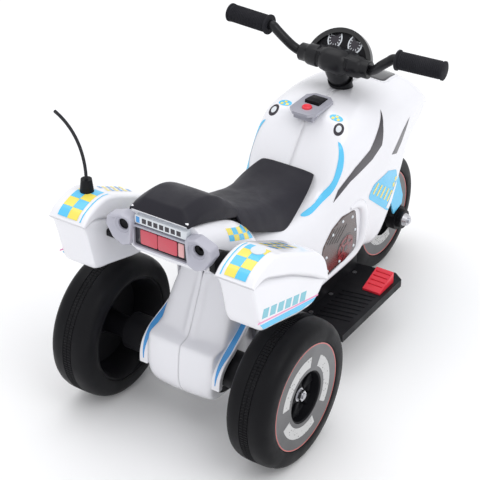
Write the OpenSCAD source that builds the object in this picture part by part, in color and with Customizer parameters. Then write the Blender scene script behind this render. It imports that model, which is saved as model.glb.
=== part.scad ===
// Child's battery ride-on trike: one steered front wheel and two rear wheels.
// Millimetres. +X is forward, +Y is the rider's left, +Z is up, the ground is z = 0.
// Outlines are drawn from the rear axle forward, then moved so the origin is the middle of the footprint.

/* [Overall] */
// rear axle to front axle
wheelbase = 549; // [535:1:660]
// distance between the middles of the two rear tyres
rear_track = 328; // [322:1:395]
// full width of the body across the tank
body_w = 192; // [186:1:198]

/* [Rear wheels] */
// tyre diameter
rear_d = 240; // [200:1:246]
// tyre width
rear_w = 76; // [70:1:78]
// diameter of the seat for the trim disc
rear_face_d = 176; // [160:1:180]

/* [Front wheel] */
// tyre diameter
front_d = 220; // [210:1:226]
// tyre width
front_w = 62; // [54:1:66]
// diameter of the seat for the trim disc
front_face_d = 160; // [150:1:166]

/* [Axles] */
// diameter of both steel axles
axle_d = 10; // [8:0.5:12]
// radial running clearance of every turning bore
run_fit = 0.05; // [0.02:0.01:0.1]
// gap left between two mating pieces of one body
gap = 0.2; // [0.1:0.05:0.4]
// gap left between pieces that move past each other
swing_gap = 0.5; // [0.4:0.1:1.5]

/* [Steering] */
// lean of the steering column
rake = 22; // [20:0.5:24]
// steering column diameter
stem_d = 24; // [20:1:26]
// handlebar tube diameter
bar_d = 19; // [16:1:21]
// grip diameter
grip_d = 29; // [26:1:32]
// flange diameter at each end of a grip
flange_d = 40; // [36:1:44]
// half the width over the grips
bar_reach = 199; // [185:1:205]

/* [Shells] */
// wall of the moulded shells
shell_t = 3; // [2:0.25:3.4]
// wall of the pannier boxes and lids
box_t = 3; // [2:0.25:4]
// thickness of the seat
seat_t = 10; // [7:0.5:11]

/* [Panniers] */
// inner face of a pannier from the centreline
pannier_in = 118; // [110:1:122]
// outer face of a pannier from the centreline
pannier_out = 178; // [172:1:190]

/* [Small parts] */
// antenna whip diameter
whip_d = 5; // [4:0.5:7]
// bore of the charging socket
jack_d = 5.5; // [4:0.1:7]
// module of the drive gears
gear_m = 2; // [1.9:0.05:2]

/* [Output] */
// which piece to draw

/* [Hidden] */
$fn = 64;
eps = 0.01;
big = 400;
rear_r = rear_d / 2;
front_r = front_d / 2;
axle_r = axle_d / 2;
wheel_y = rear_track / 2;
// the outlines are drawn for these two sizes; a change is taken up between the two marks
drawn_wheelbase = 549;
drawn_rear_r = 120;
stretch_from = 60;
stretch_to = 404;
nose_shift = wheelbase - drawn_wheelbase;
stretch = 1 + nose_shift / (stretch_to - stretch_from);
axle_shift = rear_r - drawn_rear_r;
ky = body_w / 192;
x_mid = (wheelbase + front_r - rear_r) / 2;
crown_z = front_r + 12;
stem_top = 362;
stem_r = stem_d / 2;
gear_teeth = 36;
pinion_teeth = 12;
gear_r = gear_m * gear_teeth / 2;
pinion_r = gear_m * pinion_teeth / 2;
gear_mid_y = -44;
gear_w = 12;
// the motor sits up and ahead of the axle, six drive gear teeth round from level
drive_angle = 6 * 360 / gear_teeth;
motor_x = (gear_r + pinion_r) * cos(drive_angle);
motor_z = rear_r + (gear_r + pinion_r) * sin(drive_angle);
motor_r = 10;
case_t = 2.5;
gear_case_r = gear_r + 6;
pinion_case_r = pinion_r + 6;
hub_in = wheel_y - rear_w / 2 - 2;
hub_out = wheel_y + rear_w / 2 - 16;
washer_t = 1.6;
nut_t = 7;
fork_in = front_w / 2 + 12;
fork_out = fork_in + 26;
lid_hinge = [98, 272];
pedal_hinge = [346, 85.5];
rocker_hinge = [347, 414];
rocker_x = [333, 361];
button_r = 8;
well_x = [306, 364];
well_y = 17.6;
bar_clamp = [404, 461];
dial_at = [420, 448];
bar_z = 463;
antenna_at = [-62, 152, 396.6];
antenna_base_r = 11;
spigot_r = 4;
screw_x = [236, 300, 380];
screw_y = 66;
screw_head_r = 4;
screw_head_t = 2;
footrest_top = 90;
dial_tilt = 35;

// ---- outlines, seen from the side as [x, z] or along the trike as [y, z] ----
// seat surface from its front edge back to the pillion pad
seat_top = [[262, 337], [243, 331], [215, 328], [185, 331], [135, 343], [100, 353], [72, 366],
  [58, 371]];
// lower edge of the seat flaps, back to front
seat_low = [[34, 366], [51, 339], [100, 316], [151, 292], [205, 318], [258, 332]];
// main shell, anticlockwise from the lower back corner
body_side = [[60, 132], [376, 132], [422, 135], [446, 155], [489, 216], [516, 258], [535, 293],
  [577, 336], [584, 346], [574, 372], [556, 387], [500, 398], [465, 402], [430, 405], [405, 410],
  [328, 410], [312, 402], [296, 380], [264, 337], [258, 326], [60, 326]];
// half of the main shell's cross-section, top to bottom
body_half = [[46, 411], [64, 404], [80, 389], [93, 364], [96, 345], [88, 290], [80, 240],
  [79, 150], [70, 132]];
// half of the main shell seen from above, back to front, as [x, y]
body_plan = [[60, 76], [250, 80], [330, 89], [440, 96], [505, 95], [560, 82], [590, 56]];
tail_side = [[14, 268], [59.6, 268], [59.6, 334], [51, 338.6], [34, 365.6], [20, 377.6],
  [-20, 393.6], [-84, 415.6], [-88, 413], [-74, 400], [-74, 346], [-85, 342]];
tail_core = [[18, 271], [56.6, 271], [56.6, 331], [49, 335.4], [32, 362.4], [18, 374.4],
  [-20, 390], [-70, 407], [-71, 345]];
tail_half = [[46, 416], [58, 398], [70, 378], [72, 352], [66, 336], [44, 268]];
rear_side = [[-44, 80], [-22, 62], [59.6, 62], [59.6, 267.6], [14, 267.6], [-2, 232], [-26, 170],
  [-53, 140], [-56, 112]];
rear_half = [[40, 268], [44, 240], [66, 192], [74, 156], [75, 112], [68, 84], [58, 62]];
pad_side = [[-84, 416], [-20, 394], [20, 378], [33.6, 366.6], [57.6, 371.6], [40, 391], [10, 415],
  [-12, 429], [-50, 438], [-84, 434], [-91, 427]];
pad_half = [[40, 440], [49, 428], [53, 396], [53, 360]];
// top of a lid, back to front, and the edge where it meets the box
lid_arc = [[-119, 376], [-107, 387], [-85, 395], [-62, 397], [-40, 391], [-15, 379], [15, 364],
  [46, 348], [66, 335], [80, 318], [88, 297], [93, 279]];
lid_seam = [[-117, 371], [-95, 374], [-72, 368], [-14, 341], [35, 312], [69, 289], [84, 281]];
pannier_low = [[-94, 290], [-84, 282], [13, 256], [47, 252], [66, 259], [86, 273]];
engine_side = [[258, 165], [275, 151], [352, 160], [362, 178], [360, 206], [336, 244], [297, 248],
  [270, 239], [244, 214], [244, 204]];
rib_side = [[240, 133], [374, 138], [388, 160], [390, 204], [376, 230], [352, 259], [337, 252],
  [352, 236], [365, 206], [367, 172], [354, 154], [240, 146]];
footrest_plan = [[404, 40], [416, 126], [403, 144], [206, 144], [214, 110], [214, 40]];
// half of the smoked screen on the nose, as [x, y]
screen_half = [[494, 20], [506, 40], [532, 46], [550, 34]];
// top of the nose under the screen
screen_top = [[488, 399.5], [500, 398], [556, 387], [562, 385.8]];
pedal_side = [[341, 83], [352, 83], [388, 88], [388, 110], [341, 93]];

// ---- helpers ----
// stretches the middle of the trike and carries the nose along unchanged
function along(x) = x <= stretch_from ? x : x >= stretch_to ? x + nose_shift
  : stretch_from + (x - stretch_from) * stretch;
function fit_x(p) = [for (q = p) [along(q[0]), q[1]]];
// keeps the foot of the drive housing below the rear axle
function fit_z(p) = [for (q = p) [q[0], q[1] < 160 ? q[1] + axle_shift : q[1]]];
function fit_y(p) = [for (q = p) [q[0] * ky, q[1]]];
function both(p) = concat([for (i = [len(p) - 1:-1:0]) [p[i][0], p[i][1]]],
  [for (q = p) [-q[0], q[1]]]);
function plan_both(p) = concat([for (q = p) [along(q[0]), -q[1] * ky]],
  [for (i = [len(p) - 1:-1:0]) [along(p[i][0]), p[i][1] * ky]]);
function left_of(a, b) = [a[1] - b[1], b[0] - a[0]] / norm(b - a);
function inset(p, d) = [for (i = [0:len(p) - 1])
  let (a = p[(i + len(p) - 1) % len(p)], b = p[i], c = p[(i + 1) % len(p)],
    n1 = left_of(a, b), n2 = left_of(b, c))
  b + (n1 + n2) * d / (1 + n1 * n2)];
function drop(p, d) = [for (q = p) [q[0], q[1] - d]];
function turn(p, a) = [p[0] * cos(a) - p[1] * sin(a), p[0] * sin(a) + p[1] * cos(a)];

module slab_xz(p, y0, y1) {
  translate([0, y1, 0])
    rotate([90, 0, 0])
      linear_extrude(height = y1 - y0)
        polygon(p);
}

module slab_yz(p, x0, x1) {
  translate([x0, 0, 0])
    rotate([90, 0, 90])
      linear_extrude(height = x1 - x0)
        polygon(p);
}

module slab_xy(p, z0, z1) {
  translate([0, 0, z0])
    linear_extrude(height = z1 - z0)
      polygon(p);
}

module box(a, b) {
  translate(a)
    cube(b - a);
}

module rod_y(x, z, r, y0, y1) {
  translate([x, y1, z])
    rotate([90, 0, 0])
      cylinder(h = y1 - y0, r = r);
}

module rod(a, b, r) {
  v = b - a;
  translate(a)
    rotate([0, acos(v[2] / norm(v)), atan2(v[1], v[0])])
      cylinder(h = norm(v), r = r);
}

module spun_y(p) {
  rotate([-90, 0, 0])
    rotate_extrude($fn = 96)
      polygon(p);
}

module placed() {
  translate([-x_mid, 0, 0])
    children();
}

module steered() {
  translate([wheelbase, 0, front_r])
    rotate([0, -rake, 0])
      children();
}

module other_side() {
  mirror([0, 1, 0])
    children();
}

module half_space(side) {
  translate([-big, side > 0 ? 0 : -big, -big])
    cube([3 * big, big, 3 * big]);
}

// ---- main shell ----
module above_plane(n, d) {
  translate(n * d)
    rotate([0, acos(n[2]), atan2(n[1], n[0])])
      translate([-big, -big, 0])
        cube([2 * big, 2 * big, big]);
}

module body_form(t) {
  difference() {
    intersection() {
      slab_xz(inset(fit_x(body_side), t), -big / 2, big / 2);
      slab_yz(inset(both(fit_y(body_half)), t), 0, 2 * big);
      slab_xy(inset(plan_both(body_plan), t), 0, 2 * big);
    }
    // the nose falls away to each side
    for (s = [-1, 1])
      above_plane([0.197, s * 0.726, 0.6588], 399.4 + 0.197 * nose_shift - t);
  }
}

module screen_form(g, low, high) {
  band = concat(drop(screen_top, low), [for (i = [3:-1:0]) screen_top[i] + [0, high]]);
  intersection() {
    slab_xz(fit_x(band), -60, 60);
    slab_xy(inset(plan_both(screen_half), -g), 300, 500);
  }
}

module seat_form(grow, top_drop, wall) {
  lower = [for (q = seat_low) [q[0], q[1] - grow]];
  upper = [for (q = seat_top) [q[0], q[1] - top_drop]];
  section = [[-66, 200], [66, 200], [66, 300], [51, 345], [46, 420], [-46, 420], [-51, 345],
    [-66, 300]];
  intersection() {
    slab_xz(fit_x(concat(wall > 0 ? [[34, 240], [262, 240]] : lower, upper)), -big / 2, big / 2);
    slab_yz(inset(section, wall - (wall > 0 ? 0 : grow)), 0, big);
  }
}

module seat_bed() {
  // everything the seat covers, and the air over it
  top = [for (q = seat_top) [q[0], q[1] - seat_t - gap]];
  slab_xz(fit_x(concat([[58, 480], [58, top[7][1]]],
    [for (i = [6:-1:0]) top[i]], [[264, 337], [300, 480]])), -big / 4, big / 4);
}

module body_half_shell() {
  difference() {
    union() {
      body_form(0);
      for (s = [0, 1])
        mirror([0, s, 0])
          slab_xz(fit_x(rib_side), 76 * ky, 86 * ky);
    }
    // hollow, kept low and narrow under the seat
    difference() {
      body_form(shell_t);
      box([-1, -big, 300], [along(264), big, big + 100]);
      for (s = [0, 1])
        mirror([0, s, 0])
          box([-1, 54, 270], [along(264), big, big]);
      // bosses that carry the steering bush
      steered()
        translate([0, 0, 250])
          cylinder(h = 120, r = stem_r + 12);
    }
    seat_bed();
    difference() {
      seat_form(gap, -100, 0);
      seat_form(0, seat_t + gap, 8 + gap);
    }
    // well for the fork and front wheel
    intersection() {
      box([along(404), -71 * ky, 100], [along(540), 71 * ky, 262]);
      slab_xz(fit_x([[404, 100], [600, 100], [600, 262], [440, 262], [404, 200]]), -90, 90);
    }
    // steering bush
    steered()
      translate([0, 0, 240])
        cylinder(h = 200, r = stem_r + 6 + gap);
    // headlight, side windows and screen
    slab_yz(headlight_outline(gap), along(500), along(620));
    for (s = [0, 1])
      mirror([0, s, 0])
        slab_xz(inset(fit_x(engine_side), -gap), 50, 120);
    screen_form(gap, 1.6, 8);
    // switch panel, socket
    panel_placed()
      box([well_x[0] - gap, -well_y - gap, 395], [well_x[1] + gap, well_y + gap, 420]);
    rod_y(215, 168, jack_d / 2 + 3 + gap, 60, 100);
  }
}

function headlight_outline(g) = [[-44 - g, 296 - g], [44 + g, 296 - g], [52 + g, 322],
  [40 + g, 338 + g], [-40 - g, 338 + g], [-52 - g, 322]];

module body_left() {
  color([0.95, 0.95, 0.97])
    placed()
      intersection() {
        body_half_shell();
        half_space(1);
      }
}

module body_right() {
  color([0.95, 0.95, 0.97])
    placed()
      intersection() {
        body_half_shell();
        half_space(-1);
      }
}

module engine_panel() {
  slab_xz(fit_x(engine_side), 73 * ky, 78 * ky);
  slab_xz(inset(fit_x(engine_side), -4), 72 * ky, 79 * ky - shell_t - gap - 0.6);
  // the moulded flywheel
  rod_y(along(318), 186, 24, 77 * ky, 79.5 * ky);
}

module engine_panels() {
  color([0.25, 0.2, 0.2])
    placed()
      for (s = [0, 1])
        mirror([0, s, 0])
          engine_panel();
}

module headlight_bezel() {
  color([0.7, 0.7, 0.76])
    placed()
      difference() {
        slab_yz(headlight_outline(0), along(556), along(574));
        slab_yz(inset(headlight_outline(0), 5), along(500), along(620));
      }
}

module headlight_lens() {
  color([0.9, 0.95, 1, 0.6])
    placed()
      slab_yz(inset(headlight_outline(0), 5 + gap), along(558), along(572));
}

module nose_screen() {
  color([0.06, 0.06, 0.08])
    placed()
      screen_form(0, 1.6 - gap, 0.8);
}

// ---- tail ----
module tail_form(outline, t) {
  intersection() {
    slab_xz(outline, -big / 2, big / 2);
    slab_yz(inset(both(tail_half), t), -big, big);
  }
}

module tail_cover() {
  color([0.95, 0.95, 0.97])
    placed()
      difference() {
        tail_form(tail_side, 0);
        tail_form(tail_core, shell_t);
        box([30, -36, 250], [70, 36, 330]);
      }
}

module rear_form(t) {
  intersection() {
    slab_xz(inset(fit_z(rear_side), t), -big / 2, big / 2);
    slab_yz(inset(both(fit_z(rear_half)), t), -big, big);
  }
}

module rear_shell() {
  difference() {
    rear_form(0);
    rear_form(shell_t);
    box([-40, -28, 240], [70, 28, 300]);
    rod_y(0, rear_r, 30 + gap, -100, 100);
  }
}

module rear_left() {
  color([0.95, 0.95, 0.97])
    placed()
      intersection() {
        rear_shell();
        half_space(1);
      }
}

module rear_right() {
  color([0.95, 0.95, 0.97])
    placed()
      intersection() {
        rear_shell();
        half_space(-1);
      }
}

module seat() {
  color([0.2, 0.2, 0.23])
    placed()
      difference() {
        seat_form(0, 0, 0);
        seat_form(0, seat_t, 8);
      }
}

module pillion_pad() {
  color([0.22, 0.22, 0.25])
    placed()
      intersection() {
        slab_xz(pad_side, -60, 60);
        slab_yz(both(pad_half), -big, big);
      }
}

module lamp_outline(t) {
  // one shield-shaped lamp face, drawn as [y, z]
  polygon(inset([[50, 354], [64, 348], [82, 356], [95, 378], [92, 392], [66, 402], [46, 398]], t));
}

module lamp_bezel() {
  difference() {
    translate([-94, 0, 0])
      rotate([90, 0, 90])
        linear_extrude(height = 19.8)
          lamp_outline(0);
    translate([-80, 0, 0])
      rotate([90, 0, 90])
        linear_extrude(height = 10)
          lamp_outline(3);
    translate([-100, 66, 380])
      rotate([0, 90, 0])
        cylinder(h = 40, r = 17);
  }
}

module lamp_bezels() {
  color([0.7, 0.7, 0.76])
    placed()
      for (s = [0, 1])
        mirror([0, s, 0])
          lamp_bezel();
}

module lamp_bowls() {
  color([0.6, 0.6, 0.65])
    placed()
      for (s = [-1, 1])
        translate([-91, s * 66, 380])
          rotate([0, 90, 0])
            difference() {
              cylinder(h = 13, r = 17 - gap);
              translate([0, 0, -eps])
                cylinder(h = 10, r = 14);
            }
}

module tail_lens_frame() {
  color([0.1, 0.1, 0.12])
    placed()
      difference() {
        box([-86, -43.6, 348], [-74.2, 43.6, 386]);
        box([-90, -35, 353], [-77, 35, 382]);
      }
}

module tail_lens() {
  color([0.8, 0.2, 0.25])
    placed()
      box([-89, -35 + gap, 353 + gap], [-77.2, 35 - gap, 382 - gap]);
}

module plate() {
  color([0.8, 0.8, 0.84])
    placed()
      box([-77, -46, 387], [-74.2, 46, 399]);
}

module rack() {
  // arms from behind the lamp to the side of the pannier
  box([-66, 72.2, 318], [8, 84, 366]);
  box([-66, 83, 330], [-40, pannier_in - gap, 344]);
  box([-18, 83, 318], [8, pannier_in - gap, 324.5]);
  box([-74, 72.2, 352], [-60, 84, 372]);
}

module racks() {
  color([0.1, 0.1, 0.12])
    placed()
      for (s = [0, 1])
        mirror([0, s, 0])
          rack();
}

// ---- panniers ----
function reversed(p) = [for (i = [len(p) - 1:-1:0]) p[i]];
function box_side() = concat(pannier_low, reversed(drop(lid_seam, gap)));
function lid_side(d) = concat(drop(lid_seam, d), reversed(lid_arc));
function mouth() = inset(concat(drop(lid_seam, 13 + box_t), reversed(drop(lid_seam, -60))),
  box_t + 7);

module hinge_ear(y0, y1) {
  difference() {
    union() {
      rod_y(lid_hinge[0], lid_hinge[1], 5, y0, y1);
      slab_xz([lid_hinge + [-18, -8], lid_hinge + [0, -5], lid_hinge + [2, 2],
        lid_hinge + [-14, 3]], y0, y1);
    }
    rod_y(lid_hinge[0], lid_hinge[1], 2, y0 - 1, y1 + 1);
  }
}

module pannier() {
  difference() {
    slab_xz(box_side(), pannier_in, pannier_out);
    slab_xz(inset(box_side(), box_t), pannier_in + box_t, pannier_out - box_t);
    slab_xz(mouth(), pannier_in + box_t, pannier_out - box_t);
  }
  hinge_ear(pannier_in + 6, pannier_in + 14);
  hinge_ear(pannier_out - 14, pannier_out - 6);
}

module lid() {
  difference() {
    slab_xz(lid_side(0), pannier_in - 3, pannier_out + 3);
    slab_xz(inset(lid_side(30), box_t), pannier_in + box_t, pannier_out - box_t);
  }
  difference() {
    union() {
      rod_y(lid_hinge[0], lid_hinge[1], 5, pannier_in + 14.5, pannier_out - 14.5);
      slab_xz([lid_hinge + [-3, 2], lid_hinge + [4, 2], lid_hinge + [-5, 20],
        lid_hinge + [-9, 14]], pannier_in + 14.5, pannier_out - 14.5);
    }
    rod_y(lid_hinge[0], lid_hinge[1], 2 + run_fit, pannier_in, pannier_out);
  }
}

module pannier_left() {
  color([0.95, 0.95, 0.97])
    placed()
      pannier();
}

module pannier_right() {
  color([0.95, 0.95, 0.97])
    placed()
      other_side()
        pannier();
}

module antenna_seat() {
  // hole for the spigot, and a flat round it
  translate(antenna_at) {
    translate([0, 0, -20])
      cylinder(h = 60, r = spigot_r);
    translate([0, 0, -gap / 2])
      cylinder(h = 40, r = antenna_base_r + gap);
  }
}

module lid_left() {
  color([0.9, 0.95, 0.97])
    placed()
      difference() {
        lid();
        antenna_seat();
      }
}

module lid_right() {
  color([0.9, 0.95, 0.97])
    placed()
      other_side()
        difference() {
          lid();
          antenna_seat();
        }
}

module lid_pins() {
  color([0.75, 0.75, 0.78])
    placed()
      for (s = [0, 1])
        mirror([0, s, 0])
          rod_y(lid_hinge[0], lid_hinge[1], 2, pannier_in + 6, pannier_out - 6);
}

module antenna_base() {
  color([0.1, 0.1, 0.12])
    placed()
      translate(antenna_at) {
        cylinder(h = 22, r1 = antenna_base_r, r2 = 8.5);
        translate([0, 0, -10])
          cylinder(h = 10 + eps, r = spigot_r - gap / 2);
      }
}

module antenna_whip() {
  // starts upright and bends back and outwards along one arc
  color([0.08, 0.08, 0.1])
    placed()
      translate(antenna_at + [0, 0, 22])
        rotate([0, 0, 162])
          translate([200, 0, 0])
            rotate([90, 0, 180])
              rotate_extrude(angle = 40, $fn = 48)
                translate([200, 0])
                  circle(r = whip_d / 2, $fn = 24);
}

module lid_plug() {
  color([0.93, 0.93, 0.95])
    placed()
      other_side()
        translate(antenna_at) {
          cylinder(h = 3, r = antenna_base_r);
          translate([0, 0, -10])
            cylinder(h = 10 + eps, r = spigot_r - gap / 2);
        }
}

// ---- footrests and pedal ----
module footrest() {
  difference() {
    union() {
      slab_xy(fit_x(footrest_plan), footrest_top - 14, footrest_top);
      box([along(218), 44, 80], [along(396), 60, 131.8]);
    }
    slab_xy(inset(fit_x(footrest_plan), 3), 70, footrest_top - 4);
    // grip grooves
    for (i = [0:7])
      slab_xy([[along(232 + 12 * i), 76], [along(236 + 12 * i), 76], [along(248 + 12 * i), 134],
        [along(244 + 12 * i), 134]], footrest_top - 1.2, footrest_top + 2);
    for (x = screw_x)
      translate([along(x), screw_y, footrest_top]) {
        translate([0, 0, -20])
          cylinder(h = 40, r = 2);
        translate([0, 0, -screw_head_t - gap])
          cylinder(h = 10, r = screw_head_r + gap);
      }
  }
}

module footrest_left() {
  color([0.12, 0.12, 0.14])
    placed()
      footrest();
}

module pedal_placed() {
  translate([along(pedal_hinge[0]) - pedal_hinge[0], 0, 0])
    children();
}

module footrest_right() {
  color([0.12, 0.12, 0.14])
    placed()
      other_side()
        difference() {
          union() {
            footrest();
            pedal_placed()
              box([pedal_hinge[0] - 9, 99, 76], [392, 141, 88]);
          }
          // pocket for the pedal
          pedal_placed() {
            box([pedal_hinge[0] - 6, 103, 79], [389.5, 137, 95]);
            rod_y(pedal_hinge[0], pedal_hinge[1], 1.5, 90, 141.5);
          }
        }
}

module footrest_screws() {
  // heads sunk flush with the footrest
  color([0.75, 0.75, 0.78])
    placed()
      for (s = [-1, 1], x = screw_x)
        translate([along(x), s * screw_y, footrest_top - screw_head_t - gap / 2]) {
          cylinder(h = screw_head_t, r = screw_head_r);
          translate([0, 0, -9])
            cylinder(h = 9 + eps, r = 2 - gap / 2);
        }
}

module pedal() {
  color([0.9, 0.15, 0.2])
    placed()
      other_side()
        pedal_placed()
          difference() {
            slab_xz(pedal_side, 103 + swing_gap, 137 - swing_gap);
            for (i = [0:3])
              slab_xz([[352 + 9 * i, 94.5 + 3.2 * i], [354 + 9 * i, 94.5 + 3.2 * i],
                [354 + 9 * i, 120], [352 + 9 * i, 120]], 106, 134);
            rod_y(pedal_hinge[0], pedal_hinge[1], 1.5 + run_fit, 90, 145);
          }
}

module pedal_pin() {
  color([0.75, 0.75, 0.78])
    placed()
      other_side()
        pedal_placed()
          rod_y(pedal_hinge[0], pedal_hinge[1], 1.5, 99.2, 140.8);
}

// ---- controls on the tank ----
module panel_placed() {
  translate([along(331) - 331, 0, 0])
    children();
}

module switch_panel() {
  color([0.6, 0.6, 0.66])
    placed()
      panel_placed()
        difference() {
          union() {
            slab_xy([[295, -14], [306, -25], [358, -25], [369, -14], [369, 14], [358, 25],
              [306, 25], [295, 14]], 410.2, 415);
            box([well_x[0], -well_y, 398], [well_x[1], well_y, 411]);
          }
          box([rocker_x[0] - 1.5, -13.6, 390], [rocker_x[1] + 1.2, 13.6, 420]);
          translate([318, 0, 390])
            cylinder(h = 40, r = button_r + swing_gap);
          rod_y(rocker_hinge[0], rocker_hinge[1] - 3, 1.5, -16, 16);
        }
}

module direction_rocker() {
  color([0.06, 0.06, 0.07])
    placed()
      panel_placed() {
        slab_xz([[rocker_x[0], 408], [rocker_x[1], 408], [rocker_x[1], 416], [347, 418.5],
          [rocker_x[0], 420]], -13, 13);
        rod_y(rocker_hinge[0], rocker_hinge[1] - 3, 1.5 - run_fit, -15.8, 15.8);
      }
}

module power_button() {
  color([0.9, 0.15, 0.2])
    placed()
      panel_placed()
        translate([318, 0, 405])
          cylinder(h = 13.5, r = button_r);
}

module steering_bush() {
  color([0.1, 0.1, 0.12])
    placed()
      steered()
        difference() {
          union() {
            translate([0, 0, 258])
              cylinder(h = 80, r = stem_r + 6);
            translate([0, 0, 334])
              cylinder(h = 5, r = stem_r + 9);
          }
          translate([0, 0, 200])
            cylinder(h = 200, r = stem_r + run_fit);
        }
}

// ---- drive ----
module battery() {
  color([0.15, 0.15, 0.3])
    placed()
      box([120, -35, 136], [190, 35, 240]);
}

module charge_socket() {
  color([0.1, 0.1, 0.12])
    placed()
      difference() {
        rod_y(215, 168, jack_d / 2 + 3, 66, 81);
        rod_y(215, 168, jack_d / 2, 68, 90);
      }
}

module gearbox() {
  color([0.12, 0.12, 0.14])
    placed()
      difference() {
        union() {
          rod_y(0, rear_r, gear_case_r, -60, -22);
          rod_y(motor_x, motor_z, pinion_case_r, -60, -22);
          rod_y(0, rear_r, 30, -hub_in + swing_gap, -58);
        }
        rod_y(0, rear_r, gear_case_r - case_t, -57, -30);
        rod_y(motor_x, motor_z, pinion_case_r - case_t, -57, -30);
        rod_y(0, rear_r, 14 + 2 * swing_gap, -big, -40);
        rod_y(0, rear_r, axle_r, -50, 0);
        rod_y(motor_x, motor_z, 4 + swing_gap, -60, 0);
      }
}

module axle_sleeve() {
  color([0.12, 0.12, 0.14])
    placed()
      difference() {
        rod_y(0, rear_r, 30, 40, hub_in - swing_gap);
        rod_y(0, rear_r, axle_r, 0, big);
      }
}

module motor() {
  color([0.6, 0.6, 0.62])
    placed()
      difference() {
        rod_y(motor_x, motor_z, motor_r, -22 + gap, 26);
        rod_y(motor_x, motor_z, 3 + run_fit, -30, 10);
      }
}

function tooth(r, m, n, i) = let (p = 360 / n, a = i * p, w = p * 0.19, t = p * 0.1)
  [turn([r - 1.2 * m, 0], a - p / 2 + 0.08 * p), turn([r - 1.2 * m, 0], a - w - 0.06 * p),
    turn([r - 0.2 * m, 0], a - w), turn([r + 0.75 * m, 0], a - t),
    turn([r + 0.75 * m, 0], a + t), turn([r - 0.2 * m, 0], a + w),
    turn([r - 1.2 * m, 0], a + w + 0.06 * p)];

module gear_y(r, n, phase, y0, y1) {
  translate([0, y1, 0])
    rotate([90, 0, 0])
      linear_extrude(height = y1 - y0)
        rotate([0, 0, phase])
          polygon([for (i = [0:n - 1], q = tooth(r, gear_m, n, i)) q]);
}

module pinion() {
  color([0.85, 0.85, 0.8])
    placed()
      translate([motor_x, 0, motor_z]) {
        gear_y(pinion_r, pinion_teeth, 180 / pinion_teeth + 180 + drive_angle,
          gear_mid_y - gear_w / 2, gear_mid_y + gear_w / 2);
        rod_y(0, 0, 3, gear_mid_y + gear_w / 2 - 1, 8);
      }
}

module drive_gear() {
  color([0.85, 0.85, 0.8])
    placed()
      translate([0, 0, rear_r])
        difference() {
          union() {
            gear_y(gear_r, gear_teeth, 0, gear_mid_y - gear_w / 2, gear_mid_y + gear_w / 2);
            rod_y(0, 0, 14, -hub_in + gap, gear_mid_y);
          }
          rod_y(0, 0, axle_r + run_fit, -big, big);
        }
}

module rear_axle() {
  color([0.75, 0.75, 0.78])
    placed()
      rod_y(0, rear_r, axle_r, -hub_out - swing_gap - washer_t - nut_t - 2,
        hub_out + swing_gap + washer_t + nut_t + 2);
}

module nut_set(y0) {
  // washer, hexagon nut
  difference() {
    union() {
      rod_y(0, 0, axle_r + 6, y0, y0 + washer_t);
      translate([0, y0 + washer_t + nut_t, 0])
        rotate([90, 0, 0])
          cylinder(h = nut_t, r = axle_r + 4, $fn = 6);
    }
    rod_y(0, 0, axle_r, y0 - 1, y0 + 20);
  }
}

module rear_nuts() {
  color([0.8, 0.8, 0.82])
    placed()
      for (s = [0, 1])
        mirror([0, s, 0])
          translate([0, 0, rear_r])
            nut_set(hub_out + swing_gap);
}

// ---- wheels, drawn with the outer face towards +Y ----
module tyre(r, w, face_r) {
  h = w / 2;
  // the shoulders get smaller when the sidewall is low
  k = min(1, (r - face_r - 4.5) / 17);
  spun_y([[face_r, h - 2], [face_r + 4, h], [r - 17 * k, h - 0.6], [r - 9 * k, h - 3.6],
    [r - 3.6 * k, h - 9], [r - 0.8 * k, h - 16], [r, h - 22], [r, 22 - h],
    [r - 0.8 * k, 16 - h], [r - 3.6 * k, 9 - h], [r - 9 * k, 3.6 - h], [r - 17 * k, 0.6 - h],
    [face_r + 4, -h], [face_r, 2 - h]]);
}

module hub(h, face_r, y_in, y_out, bore_r) {
  r = face_r - gap;
  spun_y([[bore_r, y_in], [18, y_in], [18, y_out - 12], [40, y_out - 8], [43, h - 6],
    [r - 3, h - 6], [r - 3, 2 - h], [r, 2 - h], [r, h - 3], [41, h - 3], [38, y_out - 4],
    [18, y_out - 4], [15, y_out], [bore_r, y_out]]);
}

module trim_disc(h, face_r) {
  spun_y([[42, h - 3 + gap / 2], [face_r - 1, h - 3 + gap / 2], [face_r - 1, h - 1.8],
    [42, h - 1.8]]);
}

module rear_tyre_left() {
  color([0.08, 0.08, 0.1])
    placed()
      translate([0, wheel_y, rear_r])
        tyre(rear_r, rear_w, rear_face_d / 2);
}

module rear_tyre_right() {
  color([0.08, 0.08, 0.1])
    placed()
      other_side()
        translate([0, wheel_y, rear_r])
          tyre(rear_r, rear_w, rear_face_d / 2);
}

module rear_hub() {
  translate([0, wheel_y, rear_r])
    hub(rear_w / 2, rear_face_d / 2, hub_in - wheel_y, hub_out - wheel_y, axle_r + run_fit);
}

module rear_hub_left() {
  color([0.1, 0.1, 0.12])
    placed()
      rear_hub();
}

module rear_hub_right() {
  color([0.1, 0.1, 0.12])
    placed()
      other_side()
        rear_hub();
}

module rear_trim_left() {
  color([0.4, 0.4, 0.42])
    placed()
      translate([0, wheel_y, rear_r])
        trim_disc(rear_w / 2, rear_face_d / 2);
}

module rear_trim_right() {
  color([0.4, 0.4, 0.42])
    placed()
      other_side()
        translate([0, wheel_y, rear_r])
          trim_disc(rear_w / 2, rear_face_d / 2);
}

module front_tyre() {
  color([0.08, 0.08, 0.1])
    placed()
      translate([wheelbase, 0, front_r])
        tyre(front_r, front_w, front_face_d / 2);
}

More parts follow.
